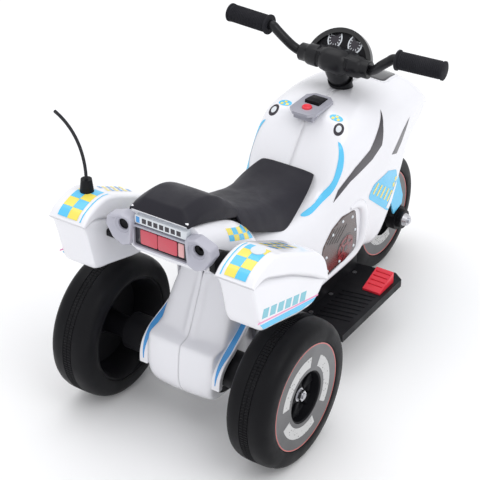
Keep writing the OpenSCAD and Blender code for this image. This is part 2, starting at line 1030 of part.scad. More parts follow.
module front_hub() {
  h = front_w / 2;
  r = front_face_d / 2 - gap;
  color([0.1, 0.1, 0.12])
    placed()
      translate([wheelbase, 0, front_r])
        spun_y([[axle_r + run_fit, swing_gap - fork_in], [16, swing_gap - fork_in],
          [18, -14], [40, -12], [43, 3 - h], [r, 3 - h], [r, h - 3], [43, h - 3], [40, 12],
          [18, 14], [16, fork_in - swing_gap], [axle_r + run_fit, fork_in - swing_gap]]);
}

module front_trims() {
  color([0.4, 0.4, 0.42])
    placed()
      translate([wheelbase, 0, front_r])
        for (s = [0, 1])
          mirror([0, s, 0])
            trim_disc(front_w / 2, front_face_d / 2);
}

module front_axle() {
  color([0.78, 0.78, 0.8])
    placed()
      translate([wheelbase, 0, front_r]) {
        rod_y(0, 0, axle_r, -fork_out - 11, fork_out + 11);
        for (s = [0, 1])
          mirror([0, s, 0])
            difference() {
              translate([0, fork_out, 0])
                rotate([-90, 0, 0])
                  cylinder(h = 8, r1 = axle_r + 7, r2 = axle_r + 4);
              rod_y(0, 0, axle_r - eps, fork_out - 1, fork_out + 9);
            }
      }
}

// ---- steering ----
module fork() {
  color([0.09, 0.09, 0.11])
    placed()
      steered()
        difference() {
          union() {
            cylinder(h = stem_top, r = stem_r);
            box([-20, -fork_in - 14, crown_z], [20, fork_in + 14, crown_z + 16]);
            for (s = [0, 1])
              mirror([0, s, 0]) {
                box([-15, fork_in, 0], [15, fork_in + 14, crown_z + 4]);
                rod_y(0, 0, 22, fork_in, fork_in + 16);
                rod_y(0, 0, 17, fork_in, fork_out - gap);
              }
          }
          rod_y(0, 0, axle_r, -big, big);
          cylinder(h = 2 * crown_z - 10, r = fork_in - 1, center = true);
          cylinder(h = 2 * crown_z, r = stem_r + 8, center = true);
        }
}

module clamp_housing() {
  xb = along(bar_clamp[0]);
  color([0.08, 0.08, 0.1])
    placed()
      difference() {
        union() {
          slab_xz([[xb - 28, 452], [xb - 10, 436], [xb + 22, 436], [xb + 40, 452],
            [xb + 42, 468], [xb + 24, 478], [xb - 20, 478]], -50, 50);
          rod_y(xb, bar_z, 15, -64, 64);
        }
        steered()
          translate([0, 0, 200])
            cylinder(h = stem_top - 200 + gap, r = stem_r + gap / 4);
        instrument_form(gap);
        rod_y(xb, bar_z, bar_d / 2 + gap / 4, 54, 80);
        rod_y(xb, bar_z, bar_d / 2 + gap / 4, -80, -54);
      }
}

// middle line of the left half of the handlebar
function bar_line() = let (xb = along(bar_clamp[0])) [[xb, 54, bar_z], [xb, 66, bar_z],
  [xb - 9, 90, 482], [xb - 11, 113, 499], [xb - 5, bar_reach - 5, 499]];

module handlebar() {
  turns = bar_line();
  color([0.08, 0.08, 0.1])
    placed()
      for (s = [0, 1])
        mirror([0, s, 0]) {
          for (i = [0:3])
            rod(turns[i], turns[i + 1], bar_d / 2);
          for (i = [1:3])
            translate(turns[i])
              sphere(r = bar_d / 2 + 0.15);
        }
}

module grips() {
  turns = bar_line();
  u = (turns[4] - turns[3]) / norm(turns[4] - turns[3]);
  a = turns[3] + 4 * u;
  b = turns[4] + 5 * u;
  color([0.1, 0.1, 0.12])
    placed()
      for (s = [0, 1])
        mirror([0, s, 0])
          difference() {
            union() {
              rod(a, b, grip_d / 2);
              rod(a, a + 4 * u, flange_d / 2);
              rod(b - 5 * u, b, flange_d / 2 - 1);
              for (i = [1:5])
                rod(a + (10 + 11 * i) * u, a + (13 + 11 * i) * u, grip_d / 2 + 0.8);
            }
            rod(a - 8 * u, b - 4 * u, bar_d / 2 + gap);
          }
}

module instrument_form(grow) {
  translate([along(dial_at[0]), 0, dial_at[1]])
    rotate([0, dial_tilt - 90, 0])
      difference() {
        rotate_extrude($fn = 96)
          polygon([[0, -30 - grow], [34, -26 - grow], [52, -12 - grow], [60 + grow, 4],
            [60 + grow, 14 + grow], [0, 14 + grow]]);
        translate([-200, -100, -100])
          cube([200 - grow, 200, 200]);
      }
}

module instruments() {
  color([0.05, 0.05, 0.06])
    placed()
      difference() {
        instrument_form(0);
        dial_space(52, 6, 30);
        steered()
          translate([0, 0, 200])
            cylinder(h = stem_top - 200 + gap, r = stem_r + gap);
        // notches for the handlebar
        rod_y(along(bar_clamp[0]), bar_z, bar_d / 2 + gap, -90, 90);
        for (s = [0, 1])
          mirror([0, s, 0])
            rod(bar_line()[1], bar_line()[2], bar_d / 2 + 2 * gap);
      }
}

module dial_space(r, low, high) {
  intersection() {
    translate([along(dial_at[0]), 0, dial_at[1]])
      rotate([0, dial_tilt - 90, 0])
        translate([0, 0, low])
          cylinder(h = high - low, r = r);
    box([-big, -big, 470], [2 * big, big, 2 * big]);
  }
}

module dial_face() {
  color([0.2, 0.2, 0.22])
    placed()
      dial_space(52 - gap, 6 + gap, 9);
}

module fork_covers() {
  color([0.33, 0.78, 0.95])
    placed()
      steered()
        for (s = [0, 1])
          mirror([0, s, 0])
            translate([0, fork_in + 14 + gap + 3, 0])
              rotate([90, 0, 0])
                linear_extrude(height = 3)
                  polygon([[-16, 30], [14, 26], [22, 40], [22, 96], [12, 104], [-16, 104]]);
}

body_left();
body_right();
tail_cover();
rear_left();
rear_right();
seat();
pillion_pad();
engine_panels();
headlight_bezel();
headlight_lens();
nose_screen();
switch_panel();
direction_rocker();
power_button();
steering_bush();
lamp_bezels();
lamp_bowls();
tail_lens_frame();
tail_lens();
plate();
racks();
pannier_left();
pannier_right();
lid_left();
lid_right();
lid_pins();
antenna_base();
antenna_whip();
lid_plug();
footrest_left();
footrest_right();
footrest_screws();
pedal();
pedal_pin();
battery();
charge_socket();
gearbox();
axle_sleeve();
motor();
pinion();
drive_gear();
rear_axle();
rear_nuts();
rear_tyre_left();
rear_hub_left();
rear_trim_left();
rear_tyre_right();
rear_hub_right();
rear_trim_right();
front_tyre();
front_hub();
front_trims();
front_axle();
fork();
fork_covers();
clamp_housing();
handlebar();
grips();
instruments();
dial_face();
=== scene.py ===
import logging
import math
from dataclasses import dataclass
from enum import Enum
from typing import Sequence

import bmesh
import bpy
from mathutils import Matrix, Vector
from mathutils.bvhtree import BVHTree
from mathutils.geometry import delaunay_2d_cdt


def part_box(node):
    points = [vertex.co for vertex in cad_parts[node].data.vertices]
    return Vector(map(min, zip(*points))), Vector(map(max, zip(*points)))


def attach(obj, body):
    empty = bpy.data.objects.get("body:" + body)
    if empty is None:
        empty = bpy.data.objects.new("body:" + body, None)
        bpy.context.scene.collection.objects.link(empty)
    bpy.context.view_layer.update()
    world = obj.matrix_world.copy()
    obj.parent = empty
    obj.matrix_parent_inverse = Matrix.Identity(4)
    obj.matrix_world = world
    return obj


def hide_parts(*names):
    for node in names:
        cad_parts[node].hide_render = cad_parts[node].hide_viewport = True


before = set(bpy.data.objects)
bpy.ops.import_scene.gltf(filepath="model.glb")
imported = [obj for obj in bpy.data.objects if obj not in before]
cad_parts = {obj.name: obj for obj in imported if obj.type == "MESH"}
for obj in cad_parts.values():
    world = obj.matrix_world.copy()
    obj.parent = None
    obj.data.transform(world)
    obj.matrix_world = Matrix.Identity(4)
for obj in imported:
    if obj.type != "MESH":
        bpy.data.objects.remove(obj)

LOG = logging.getLogger("trike")
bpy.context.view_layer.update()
MM = 0.001
Pair = tuple[float, float]
Triple = tuple[float, float, float]

REAR_AXLE = sum(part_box("rear_axle"), Vector()) / 2


def at(x: float, y: float, z: float) -> Vector:
    """Places a point given in millimetres from the ground under the rear axle.

    Args:
        x: Distance ahead of the rear axle.
        y: Distance to the rider's left.
        z: Height above the ground.

    Returns:
        The point in the frame, in metres.
    """
    return Vector((REAR_AXLE.x + x * MM, y * MM, z * MM))


def ahead_of_axle(node: str) -> Vector:
    """Middle of a CAD node, in millimetres from the ground under the rear axle.

    Args:
        node: Name of the node.

    Returns:
        The middle as x, y and z.
    """
    low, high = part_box(node)
    middle = (low + high) / 2
    return Vector(((middle.x - REAR_AXLE.x) / MM, middle.y / MM, middle.z / MM))


# --------------------------------------------------------------------------- finishes


class Sheen(Enum):
    """How polished a surface leaves its mould or its last process."""

    DULL = 0.72
    SATIN = 0.48
    SOFT_GLOSS = 0.34
    GLOSS = 0.22
    POLISHED = 0.09


class Shader:
    """A node tree that is put together one node at a time."""

    def __init__(self, name: str) -> None:
        """Starts an empty tree.

        Args:
            name: Name of the material.
        """
        self.material = bpy.data.materials.new(name)
        self.material.use_nodes = True
        self.tree = self.material.node_tree
        self.surface = self.tree.nodes["Principled BSDF"]
        self.place = self.tree.nodes.new("ShaderNodeTexCoord").outputs["Object"]

    def add(self, kind: str, **settings: object) -> bpy.types.Node:
        """Adds a node.

        Args:
            kind: Blender's name for the node.
            settings: Attributes to set on it.

        Returns:
            The node.
        """
        node = self.tree.nodes.new(kind)
        for key, value in settings.items():
            setattr(node, key, value)
        return node

    def join(self, source: bpy.types.NodeSocket, target: bpy.types.NodeSocket) -> None:
        """Links two sockets."""
        self.tree.links.new(source, target)

    def noise(
        self, scale: float, detail: float = 3.0, stretch: Triple = (1.0, 1.0, 1.0), rough: float = 0.5
    ) -> bpy.types.NodeSocket:
        """Adds a noise pattern.

        Args:
            scale: Lumps to the metre.
            detail: Octaves.
            stretch: How much finer it is along each axis.
            rough: How strong the fine octaves are.

        Returns:
            The pattern's value.
        """
        mapping = self.add("ShaderNodeMapping")
        mapping.inputs["Scale"].default_value = stretch
        self.join(self.place, mapping.inputs["Vector"])
        noise = self.add("ShaderNodeTexNoise")
        noise.inputs["Scale"].default_value = scale
        noise.inputs["Detail"].default_value = detail
        noise.inputs["Roughness"].default_value = rough
        self.join(mapping.outputs["Vector"], noise.inputs["Vector"])
        return noise.outputs["Fac"]

    def ranged(self, value: bpy.types.NodeSocket, low: float, high: float) -> bpy.types.NodeSocket:
        """Spreads a pattern's middle band over a range.

        Args:
            value: The pattern.
            low: Result where the pattern is low.
            high: Result where the pattern is high.

        Returns:
            The ranged value.
        """
        node = self.add("ShaderNodeMapRange")
        node.inputs["From Min"].default_value = 0.3
        node.inputs["From Max"].default_value = 0.7
        node.inputs["To Min"].default_value = low
        node.inputs["To Max"].default_value = high
        self.join(value, node.inputs["Value"])
        return node.outputs["Result"]

    def mixed(
        self, fac: bpy.types.NodeSocket, first: Sequence[float], second: Sequence[float]
    ) -> bpy.types.NodeSocket:
        """Mixes two colours.

        Args:
            fac: Share of the second colour.
            first: Red, green and blue of the first colour.
            second: Red, green and blue of the second colour.

        Returns:
            The mixed colour.
        """
        node = self.add("ShaderNodeMix", data_type="RGBA")
        self.join(fac, node.inputs["Factor"])
        node.inputs[6].default_value = (*first, 1.0)
        node.inputs[7].default_value = (*second, 1.0)
        return node.outputs[2]

    def bump(self, height: bpy.types.NodeSocket, depth: float, strength: float = 1.0) -> None:
        """Raises the surface by a pattern, on top of any bump it has.

        Args:
            height: The pattern.
            depth: Height in metres where the pattern is 1.
            strength: Blender's strength.
        """
        node = self.add("ShaderNodeBump")
        node.inputs["Distance"].default_value = depth
        node.inputs["Strength"].default_value = strength
        self.join(height, node.inputs["Height"])
        links = self.surface.inputs["Normal"].links
        if links:
            self.join(links[0].from_socket, node.inputs["Normal"])
        self.join(node.outputs["Normal"], self.surface.inputs["Normal"])


@dataclass(frozen=True)
class Plastic:
    """Moulded or printed plastic: faint colour drift, uneven gloss, moulding grain."""

    name: str
    colour: Triple
    sheen: Sheen = Sheen.GLOSS
    drift: float = 0.05
    grain: float = 0.00002
    grain_scale: float = 900.0
    wave: float = 0.00012
    coat: float = 0.25
    scuffs: float = 0.0
    specular: float = 0.5

    def material(self) -> bpy.types.Material:
        """Builds the material once.

        Returns:
            The material.
        """
        found = bpy.data.materials.get(self.name)
        if found:
            return found
        shader = Shader(self.name)
        darker = tuple(c * (1 - self.drift) for c in self.colour)
        lighter = tuple(min(1.0, c * (1 + self.drift * 0.6) + 0.002) for c in self.colour)
        colour = shader.mixed(shader.ranged(shader.noise(9.0, 4.0), 0.0, 1.0), darker, lighter)
        shader.join(colour, shader.surface.inputs["Base Color"])
        r = self.sheen.value
        gloss = shader.ranged(shader.noise(34.0, 5.0, rough=0.6), r * 0.82, min(1.0, r * 1.22))
        shader.join(gloss, shader.surface.inputs["Roughness"])
        shader.surface.inputs["Coat Weight"].default_value = self.coat
        shader.surface.inputs["Coat Roughness"].default_value = 0.12
        shader.surface.inputs["Specular IOR Level"].default_value = self.specular
        if self.wave:
            shader.bump(shader.noise(22.0, 1.0), self.wave)
        if self.grain:
            shader.bump(shader.noise(self.grain_scale, 3.0), self.grain)
        if self.scuffs:
            shader.bump(shader.noise(60.0, 6.0, (1.0, 9.0, 1.0), 0.7), self.scuffs)
        return shader.material


@dataclass(frozen=True)
class Steel:
    """Zinc plated steel with turning marks."""

    name: str
    colour: Triple
    roughness: float = 0.3

    def material(self) -> bpy.types.Material:
        """Builds the material once.

        Returns:
            The material.
        """
        found = bpy.data.materials.get(self.name)
        if found:
            return found
        shader = Shader(self.name)
        darker = tuple(c * 0.82 for c in self.colour)
        blotch = shader.ranged(shader.noise(160.0, 4.0), 0.0, 1.0)
        shader.join(shader.mixed(blotch, darker, self.colour), shader.surface.inputs["Base Color"])
        shader.surface.inputs["Metallic"].default_value = 1.0
        marks = shader.noise(900.0, 2.0, (1.0, 6.0, 1.0))
        shader.join(
            shader.ranged(marks, self.roughness * 0.7, self.roughness * 1.3),
            shader.surface.inputs["Roughness"],
        )
        shader.bump(marks, 0.00001)
        return shader.material


WHITE = Plastic("shell_white", (0.86, 0.86, 0.90), Sheen.GLOSS, 0.012, 0.000008, 700.0, 0.00006, 0.4)
SEAT_BLACK = Plastic(
    "seat_charcoal", (0.018, 0.017, 0.024), Sheen.SATIN, 0.12, 0.00006, 520.0, 0.0001, 0.02, specular=0.2
)
TRIM_BLACK = Plastic(
    "trim_black", (0.006, 0.006, 0.008), Sheen.SATIN, 0.14, 0.00003, 700.0, 0.0001, 0.03, specular=0.18
)
GLOSS_BLACK = Plastic("hood_black", (0.004, 0.004, 0.005), Sheen.POLISHED, 0.1, 0.0, 900.0, 0.00004, 0.35)
SMOKED = Plastic("screen_smoked", (0.010, 0.010, 0.016), Sheen.POLISHED, 0.1, 0.0, 900.0, 0.00003, 0.5)
BAR_BLACK = Plastic(
    "bar_black", (0.008, 0.008, 0.010), Sheen.SOFT_GLOSS, 0.12, 0.00001, 900.0, 0.0, 0.08, specular=0.25
)
GRIP_BLACK = Plastic(
    "grip_black", (0.012, 0.012, 0.016), Sheen.DULL, 0.12, 0.00008, 900.0, 0.0, 0.0, specular=0.25
)
TYRE_BLACK = Plastic(
    "tyre_black", (0.0045, 0.0045, 0.006), Sheen.SATIN, 0.2, 0.00004, 420.0, 0.00016, 0.03, scuffs=0.00003,
    specular=0.13,
)
HUB_BLACK = Plastic(
    "hub_black", (0.005, 0.005, 0.007), Sheen.SATIN, 0.15, 0.00003, 600.0, 0.0001, 0.02, specular=0.15
)
SILVER = Plastic("lamp_silver", (0.46, 0.46, 0.53), Sheen.SOFT_GLOSS, 0.05, 0.00002, 900.0, 0.00005, 0.35)
SWITCH_GREY = Plastic("switch_grey", (0.40, 0.40, 0.46), Sheen.GLOSS, 0.06, 0.00001, 700.0, 0.00004, 0.4)
LIGHT_BLUE = Plastic("sticker_blue", (0.10, 0.57, 0.90), Sheen.GLOSS, 0.03, 0.000006, 900.0, 0.0, 0.3)
FENDER_BLUE = Plastic("fender_blue", (0.055, 0.32, 0.72), Sheen.GLOSS, 0.03, 0.000006, 900.0, 0.0, 0.3)
YELLOW = Plastic("sticker_yellow", (0.92, 0.78, 0.12), Sheen.GLOSS, 0.03, 0.000006, 900.0, 0.0, 0.3)
PINK = Plastic("sticker_pink", (0.86, 0.30, 0.55), Sheen.GLOSS, 0.03, 0.000006, 900.0, 0.0, 0.3)
TEAL = Plastic("sticker_teal", (0.20, 0.55, 0.66), Sheen.GLOSS, 0.03, 0.000006, 900.0, 0.0, 0.3)
PALE = Plastic("sticker_pale", (0.74, 0.78, 0.82), Sheen.GLOSS, 0.03, 0.000006, 900.0, 0.0, 0.3)
SWEEP_BLACK = Plastic("sticker_black", (0.022, 0.017, 0.027), Sheen.GLOSS, 0.12, 0.000006, 900.0, 0.0, 0.2)
ENGINE_BROWN = Plastic("engine_brown", (0.085, 0.052, 0.048), Sheen.GLOSS, 0.30, 0.00001, 260.0, 0.0001, 0.5)
ENGINE_DARK = Plastic("engine_dark", (0.028, 0.018, 0.018), Sheen.GLOSS, 0.20, 0.00001, 260.0, 0.0, 0.5)
ENGINE_RED = Plastic("engine_red", (0.20, 0.022, 0.026), Sheen.GLOSS, 0.10, 0.00001, 260.0, 0.0, 0.5)
RED = Plastic("pedal_red", (0.84, 0.026, 0.05), Sheen.SOFT_GLOSS, 0.06, 0.00002, 900.0, 0.00005, 0.2)
PALE_RED = Plastic("lens_pale", (0.80, 0.42, 0.42), Sheen.GLOSS, 0.10, 0.00001, 300.0, 0.0, 0.5)
RED_LENS = Plastic("lens_red", (0.60, 0.055, 0.09), Sheen.GLOSS, 0.10, 0.00001, 300.0, 0.0, 0.5)
CLEAR_LENS = Plastic("lens_clear", (0.62, 0.66, 0.70), Sheen.GLOSS, 0.05, 0.00002, 240.0, 0.0001, 0.6)
WHIP_RUBBER = Plastic("whip_rubber", (0.012, 0.012, 0.014), Sheen.SATIN, 0.1, 0.00003, 900.0, 0.0, 0.0)
NYLON = Plastic("gear_nylon", (0.72, 0.70, 0.60), Sheen.SATIN)
BATTERY = Plastic("battery_case", (0.030, 0.030, 0.034), Sheen.SATIN, 0.1, 0.00004, 500.0)
STEEL = Steel("zinc_steel", (0.66, 0.66, 0.69))
BAR_STEEL = Steel("axle_steel", (0.52, 0.52, 0.55), 0.34)
KEPT_NODES = {
    "headlight_bezel": SILVER,
    "headlight_lens": CLEAR_LENS,
    "switch_panel": SWITCH_GREY,
    "direction_rocker": TRIM_BLACK,
    "steering_bush": TRIM_BLACK,
    "antenna_base": TRIM_BLACK,
    "antenna_whip": WHIP_RUBBER,
    "lid_plug": PALE,
    "footrest_left": TRIM_BLACK,
    "footrest_right": TRIM_BLACK,
    "footrest_screws": STEEL,
    "pedal": RED,
    "pedal_pin": STEEL,
    "lid_pins": STEEL,
    "battery": BATTERY,
    "charge_socket": TRIM_BLACK,
    "gearbox": TRIM_BLACK,
    "axle_sleeve": TRIM_BLACK,
    "motor": STEEL,
    "pinion": NYLON,
    "drive_gear": NYLON,
    "rear_axle": BAR_STEEL,
    "rear_nuts": STEEL,
    "front_axle": STEEL,
    "fork": TRIM_BLACK,
    "fork_covers": LIGHT_BLUE,
    "instruments": GLOSS_BLACK,
    "dial_face": TRIM_BLACK,
}

# --------------------------------------------------------------------------- mesh work


@dataclass
class Mesh:
    """Corners and faces of a piece, before it becomes a Blender object."""

    points: list[Vector]
    faces: list[tuple[int, ...]]

    def plus(self, other: "Mesh") -> "Mesh":
        """Adds another mesh to this one.

        Args:
            other: The mesh to add.

        Returns:
            This mesh.
        """
        start = len(self.points)
        self.points += other.points
        self.faces += [tuple(i + start for i in face) for face in other.faces]
        return self

    def on_side(self, right: bool) -> "Mesh":
        """Copies the mesh, drawn on the left, to the side wanted.

        Args:
            right: True for the right side.

        Returns:
            A new mesh.
        """
        return self.mirrored() if right else Mesh(list(self.points), list(self.faces))

    def mirrored(self) -> "Mesh":
        """Makes the same mesh on the other side of the trike.

        Returns:
            A new mesh.
        """
        return Mesh(
            [Vector((p.x, -p.y, p.z)) for p in self.points],
            [tuple(reversed(face)) for face in self.faces],
        )


@dataclass
class Make:
    """How a mesh becomes a piece: finish, body, edges and the nodes it stands for."""

    finish: object
    body: str = "chassis"
    replaces: tuple[str, ...] = ()
    slot: str = ""
    subdivide: int = 0
    solid: float = 0.0
    even: bool = True
    bevel: float = 0.0
    bevel_steps: int = 3
    angle: float = 40.0
    flat: bool = False

    def piece(self, name: str, mesh: Mesh) -> bpy.types.Object:
        """Makes the Blender object.

        Args:
            name: Name of the piece.
            mesh: Its corners and faces.

        Returns:
            The object, riding on its body.
        """
        data = bpy.data.meshes.new(name)
        data.from_pydata([tuple(p) for p in mesh.points], [], mesh.faces)
        bm = bmesh.new()
        bm.from_mesh(data)
        bmesh.ops.remove_doubles(bm, verts=bm.verts, dist=0.00002)
        if not self.flat:
            bmesh.ops.recalc_face_normals(bm, faces=bm.faces)
        bm.to_mesh(data)
        bm.free()
        data.materials.append(self.finish.material())
        for polygon in data.polygons:
            polygon.use_smooth = True
        obj = bpy.data.objects.new(name, data)
        bpy.context.scene.collection.objects.link(obj)
        if self.subdivide:
            step = obj.modifiers.new("Rounding", "SUBSURF")
            step.levels = step.render_levels = self.subdivide
        elif not self.bevel:
            data.set_sharp_from_angle(angle=math.radians(self.angle))
        if self.solid:
            step = obj.modifiers.new("Wall", "SOLIDIFY")
            step.thickness = self.solid
            step.offset = -1.0
            step.use_even_offset = self.even
        if self.bevel:
            step = obj.modifiers.new("Edges", "BEVEL")
            step.width = self.bevel
            step.segments = self.bevel_steps
            step.limit_method = "ANGLE"
            step.angle_limit = math.radians(28)
            step.harden_normals = True
        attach(obj, self.body)
        if self.replaces:
            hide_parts(*self.replaces)
        LOG.info("made %s: %d faces", name, len(data.polygons))
        return obj


def loft(rows: Sequence[Sequence[Vector]], around: bool = False) -> Mesh:
    """Skins rows of points.

    Args:
        rows: Rows with equally many points.
        around: True if each row closes on itself.

    Returns:
        The skin.
    """
    n = len(rows[0])
    points = [p.copy() for row in rows for p in row]
    faces = []
    for i in range(len(rows) - 1):
        for j in range(n if around else n - 1):
            k = (j + 1) % n
            faces.append((i * n + j, i * n + k, (i + 1) * n + k, (i + 1) * n + j))
    return Mesh(points, faces)


def capped(mesh: Mesh, n: int, first: bool = True, last: bool = True) -> Mesh:
    """Closes the ends of a loft whose rows close on themselves.

    Args:
        mesh: The loft.
        n: Points in a row.
        first: Whether to close the first row.
        last: Whether to close the last row.

    Returns:
        The same mesh.
    """
    total = len(mesh.points)
    if first:
        mesh.faces.append(tuple(reversed(range(n))))
    if last:
        mesh.faces.append(tuple(range(total - n, total)))
    return mesh


@dataclass
class Spindle:
    """A line that things are turned around."""

    centre: Vector
    axis: Vector

    def frame(self) -> tuple[Vector, Vector, Vector]:
        """Gives three directions at right angles, the last along the axis.

        Returns:
            Two sideways directions and the axis.
        """
        axis = self.axis.normalized()
        side = axis.cross(Vector((0, 0, 1)))
        if side.length < 0.1:
            side = axis.cross(Vector((1, 0, 0)))
        side.normalize()
        return side, axis.cross(side).normalized(), axis

    def turned(
        self,
        profile: Sequence[Pair],
        segments: int = 96,
        closed: bool = True,
        span: float = 360.0,
        start: float = 0.0,
    ) -> Mesh:
        """Turns a profile.

        Args:
            profile: Radius and place along the axis, in millimetres.
            segments: Steps in the whole span.
            closed: Whether the profile joins its last point to its first.
            span: Degrees turned through.
            start: Degrees where it starts.

        Returns:
            The turned mesh.
        """
        a, b, c = self.frame()
        full = span >= 360.0
        rows = []
        for r, t in profile:
            row = []
            for i in range(segments if full else segments + 1):
                w = math.radians(start + span * i / segments)
                row.append(self.centre + (a * math.cos(w) + b * math.sin(w)) * (r * MM) + c * (t * MM))
            rows.append(row)
        if closed:
            rows.append(rows[0])
        return loft(rows, full)


def swept(path: Sequence[Vector], radii: Sequence[float], sides: int = 20) -> Mesh:
    """Runs a round section along a path.

    Args:
        path: Points of the path.
        radii: Radius in millimetres at each point.
        sides: Corners of the section.

    Returns:
        The closed tube.
    """
    rows = []
    normal = None
    for i, p in enumerate(path):
        tangent = (path[min(i + 1, len(path) - 1)] - path[max(i - 1, 0)]).normalized()
        if normal is None:
            normal = tangent.orthogonal().normalized()
        normal = (normal - tangent * normal.dot(tangent)).normalized()
        other = tangent.cross(normal)
        r = radii[i] * MM
        turns = [2 * math.pi * j / sides for j in range(sides)]
        rows.append([p + (normal * math.cos(w) + other * math.sin(w)) * r for w in turns])
    return capped(loft(rows, True), sides)


def smooth_path(points: Sequence[Vector], steps: int = 8) -> list[Vector]:
    """Passes a smooth curve through points.

    Args:
        points: The points.
        steps: New points for each stretch.

    Returns:
        Points along the curve.
    """
    out = []
    for i in range(len(points) - 1):
        p0 = points[max(i - 1, 0)]
        p1, p2 = points[i], points[i + 1]
        p3 = points[min(i + 2, len(points) - 1)]
        for k in range(steps):
            t = k / steps
            out.append(
                0.5
                * (
                    2 * p1
                    + (p2 - p0) * t
                    + (2 * p0 - 5 * p1 + 4 * p2 - p3) * t * t
                    + (3 * p1 - p0 - 3 * p2 + p3) * t * t * t
                )
            )
    out.append(points[-1].copy())
    return out


def smooth_outline(points: Sequence[Pair], steps: int = 5, closed: bool = True) -> list[Pair]:
    """Rounds a flat outline by passing a curve through its corners.

    Args:
        points: Corners.
        steps: New points for each side.
        closed: Whether the outline closes on itself.

    Returns:
        The rounded outline.
    """
    n = len(points)
    out = []
    for i in range(n if closed else n - 1):
        q = [points[(i + k) % n] if closed else points[min(max(i + k, 0), n - 1)] for k in (-1, 0, 1, 2)]
        for k in range(steps):
            t = k / steps
            out.append(
                tuple(
                    0.5
                    * (
                        2 * q[1][a]
                        + (q[2][a] - q[0][a]) * t
                        + (2 * q[0][a] - 5 * q[1][a] + 4 * q[2][a] - q[3][a]) * t * t
                        + (3 * q[1][a] - q[0][a] - 3 * q[2][a] + q[3][a]) * t * t * t
                    )
                    for a in (0, 1)
                )
            )
    if not closed:
        out.append(tuple(points[-1]))
    return out


def rounded(points: Sequence[Pair], radius: float, steps: int = 4) -> list[Pair]:
    """Rounds the corners of an outline with arcs.

    Args:
        points: Corners, in order.
        radius: Radius wanted; less is used on short sides.
        steps: Points on each arc, less one.

    Returns:
        The rounded outline.
    """
    n = len(points)
    out: list[Pair] = []
    for i in range(n):
        p, q, r = (Vector(points[(i + k) % n]) for k in (-1, 0, 1))
        u, v = (p - q), (r - q)
        lu, lv = u.length, v.length
        u.normalize()
        v.normalize()
        angle = math.acos(max(-1.0, min(1.0, u.dot(v))))
        if angle > math.radians(176):
            out.append(tuple(q))
            continue
        cut = min(radius / math.tan(angle / 2), lu * 0.45, lv * 0.45)
        a, b = q + u * cut, q + v * cut
        for k in range(steps + 1):
            t = k / steps
            out.append(tuple(a * (1 - t) ** 2 + q * (2 * t * (1 - t)) + b * t * t))
    return out


def inset(points: Sequence[Pair], depth: float) -> list[Pair]:
    """Moves every side of an anticlockwise outline inwards.

    Args:
        points: Corners.
        depth: Distance moved; negative moves outwards.

    Returns:
        The new corners.
    """
    n = len(points)
    out = []
    for i in range(n):
        a, b, c = (Vector(points[(i + k) % n]) for k in (-1, 0, 1))
        u, v = (b - a).normalized(), (c - b).normalized()
        nu, nv = Vector((-u.y, u.x)), Vector((-v.y, v.x))
        out.append(tuple(b + (nu + nv) * (depth / max(0.3, 1 + nu.dot(nv)))))
    return out


class Facing(Enum):
    """Which way the flat side of a flat shape faces, and the two axes it is drawn on."""

    SIDE = "xz"
    TOP = "xy"
    BACK = "yz"


def on_plane(facing: Facing, a: float, b: float, depth: float) -> Vector:
    """Places a flat point.

    Args:
        facing: The plane.
        a: First coordinate in it.
        b: Second coordinate in it.
        depth: Coordinate across it.

    Returns:
        The point in the frame.
    """
    if facing is Facing.SIDE:
        return at(a, depth, b)
    if facing is Facing.TOP:
        return at(a, b, depth)
    return at(depth, a, b)


def slab(
    facing: Facing, outline: Sequence[Pair], low: float, high: float, edge: float = 0.0, steps: int = 3
) -> Mesh:
    """Makes a slab with rounded rims.

    Args:
        facing: The plane of its outline.
        outline: Anticlockwise corners.
        low: Near face.
        high: Far face.
        edge: Radius of the rims.
        steps: Steps in that radius.

    Returns:
        The closed slab.
    """
    rows = []
    levels = [(low, 0.0), (high, 0.0)]
    if edge:
        turns = [math.pi / 2 * k / steps for k in range(steps, -1, -1)]
        rim = [(low + edge * (1 - math.sin(w)), edge * (1 - math.cos(w))) for w in turns]
        levels = rim + [(high - (z - low), d) for z, d in reversed(rim)]
    for z, d in levels:
        shape = inset(outline, d) if d else outline
        rows.append([on_plane(facing, a, b, z) for a, b in shape])
    return capped(loft(rows, True), len(outline))


def printed(finish: Plastic, name: str, mesh: Mesh, slot: str = "white_shell", body: str = "chassis") -> None:
    """Makes a piece from a printed film.

    Args:
        finish: Its finish.
        name: Name of the piece.
        mesh: The film.
        slot: The record's material slot it belongs to.
        body: The body it rides on.
    """
    Make(finish, body, (), slot, flat=True).piece(name, mesh)


def skin_tree(*objs: bpy.types.Object) -> BVHTree:
    """Builds a search tree of the finished surface of pieces.

    Args:
        objs: The pieces.

    Returns:
        The tree, in the frame.
    """
    graph = bpy.context.evaluated_depsgraph_get()
    points, faces = [], []
    for obj in objs:
        done = obj.evaluated_get(graph)
        mesh = done.to_mesh()
        start = len(points)
        points += [done.matrix_world @ v.co for v in mesh.vertices]
        faces += [[start + i for i in p.vertices] for p in mesh.polygons]
        done.to_mesh_clear()
    return BVHTree.FromPolygons(points, faces)


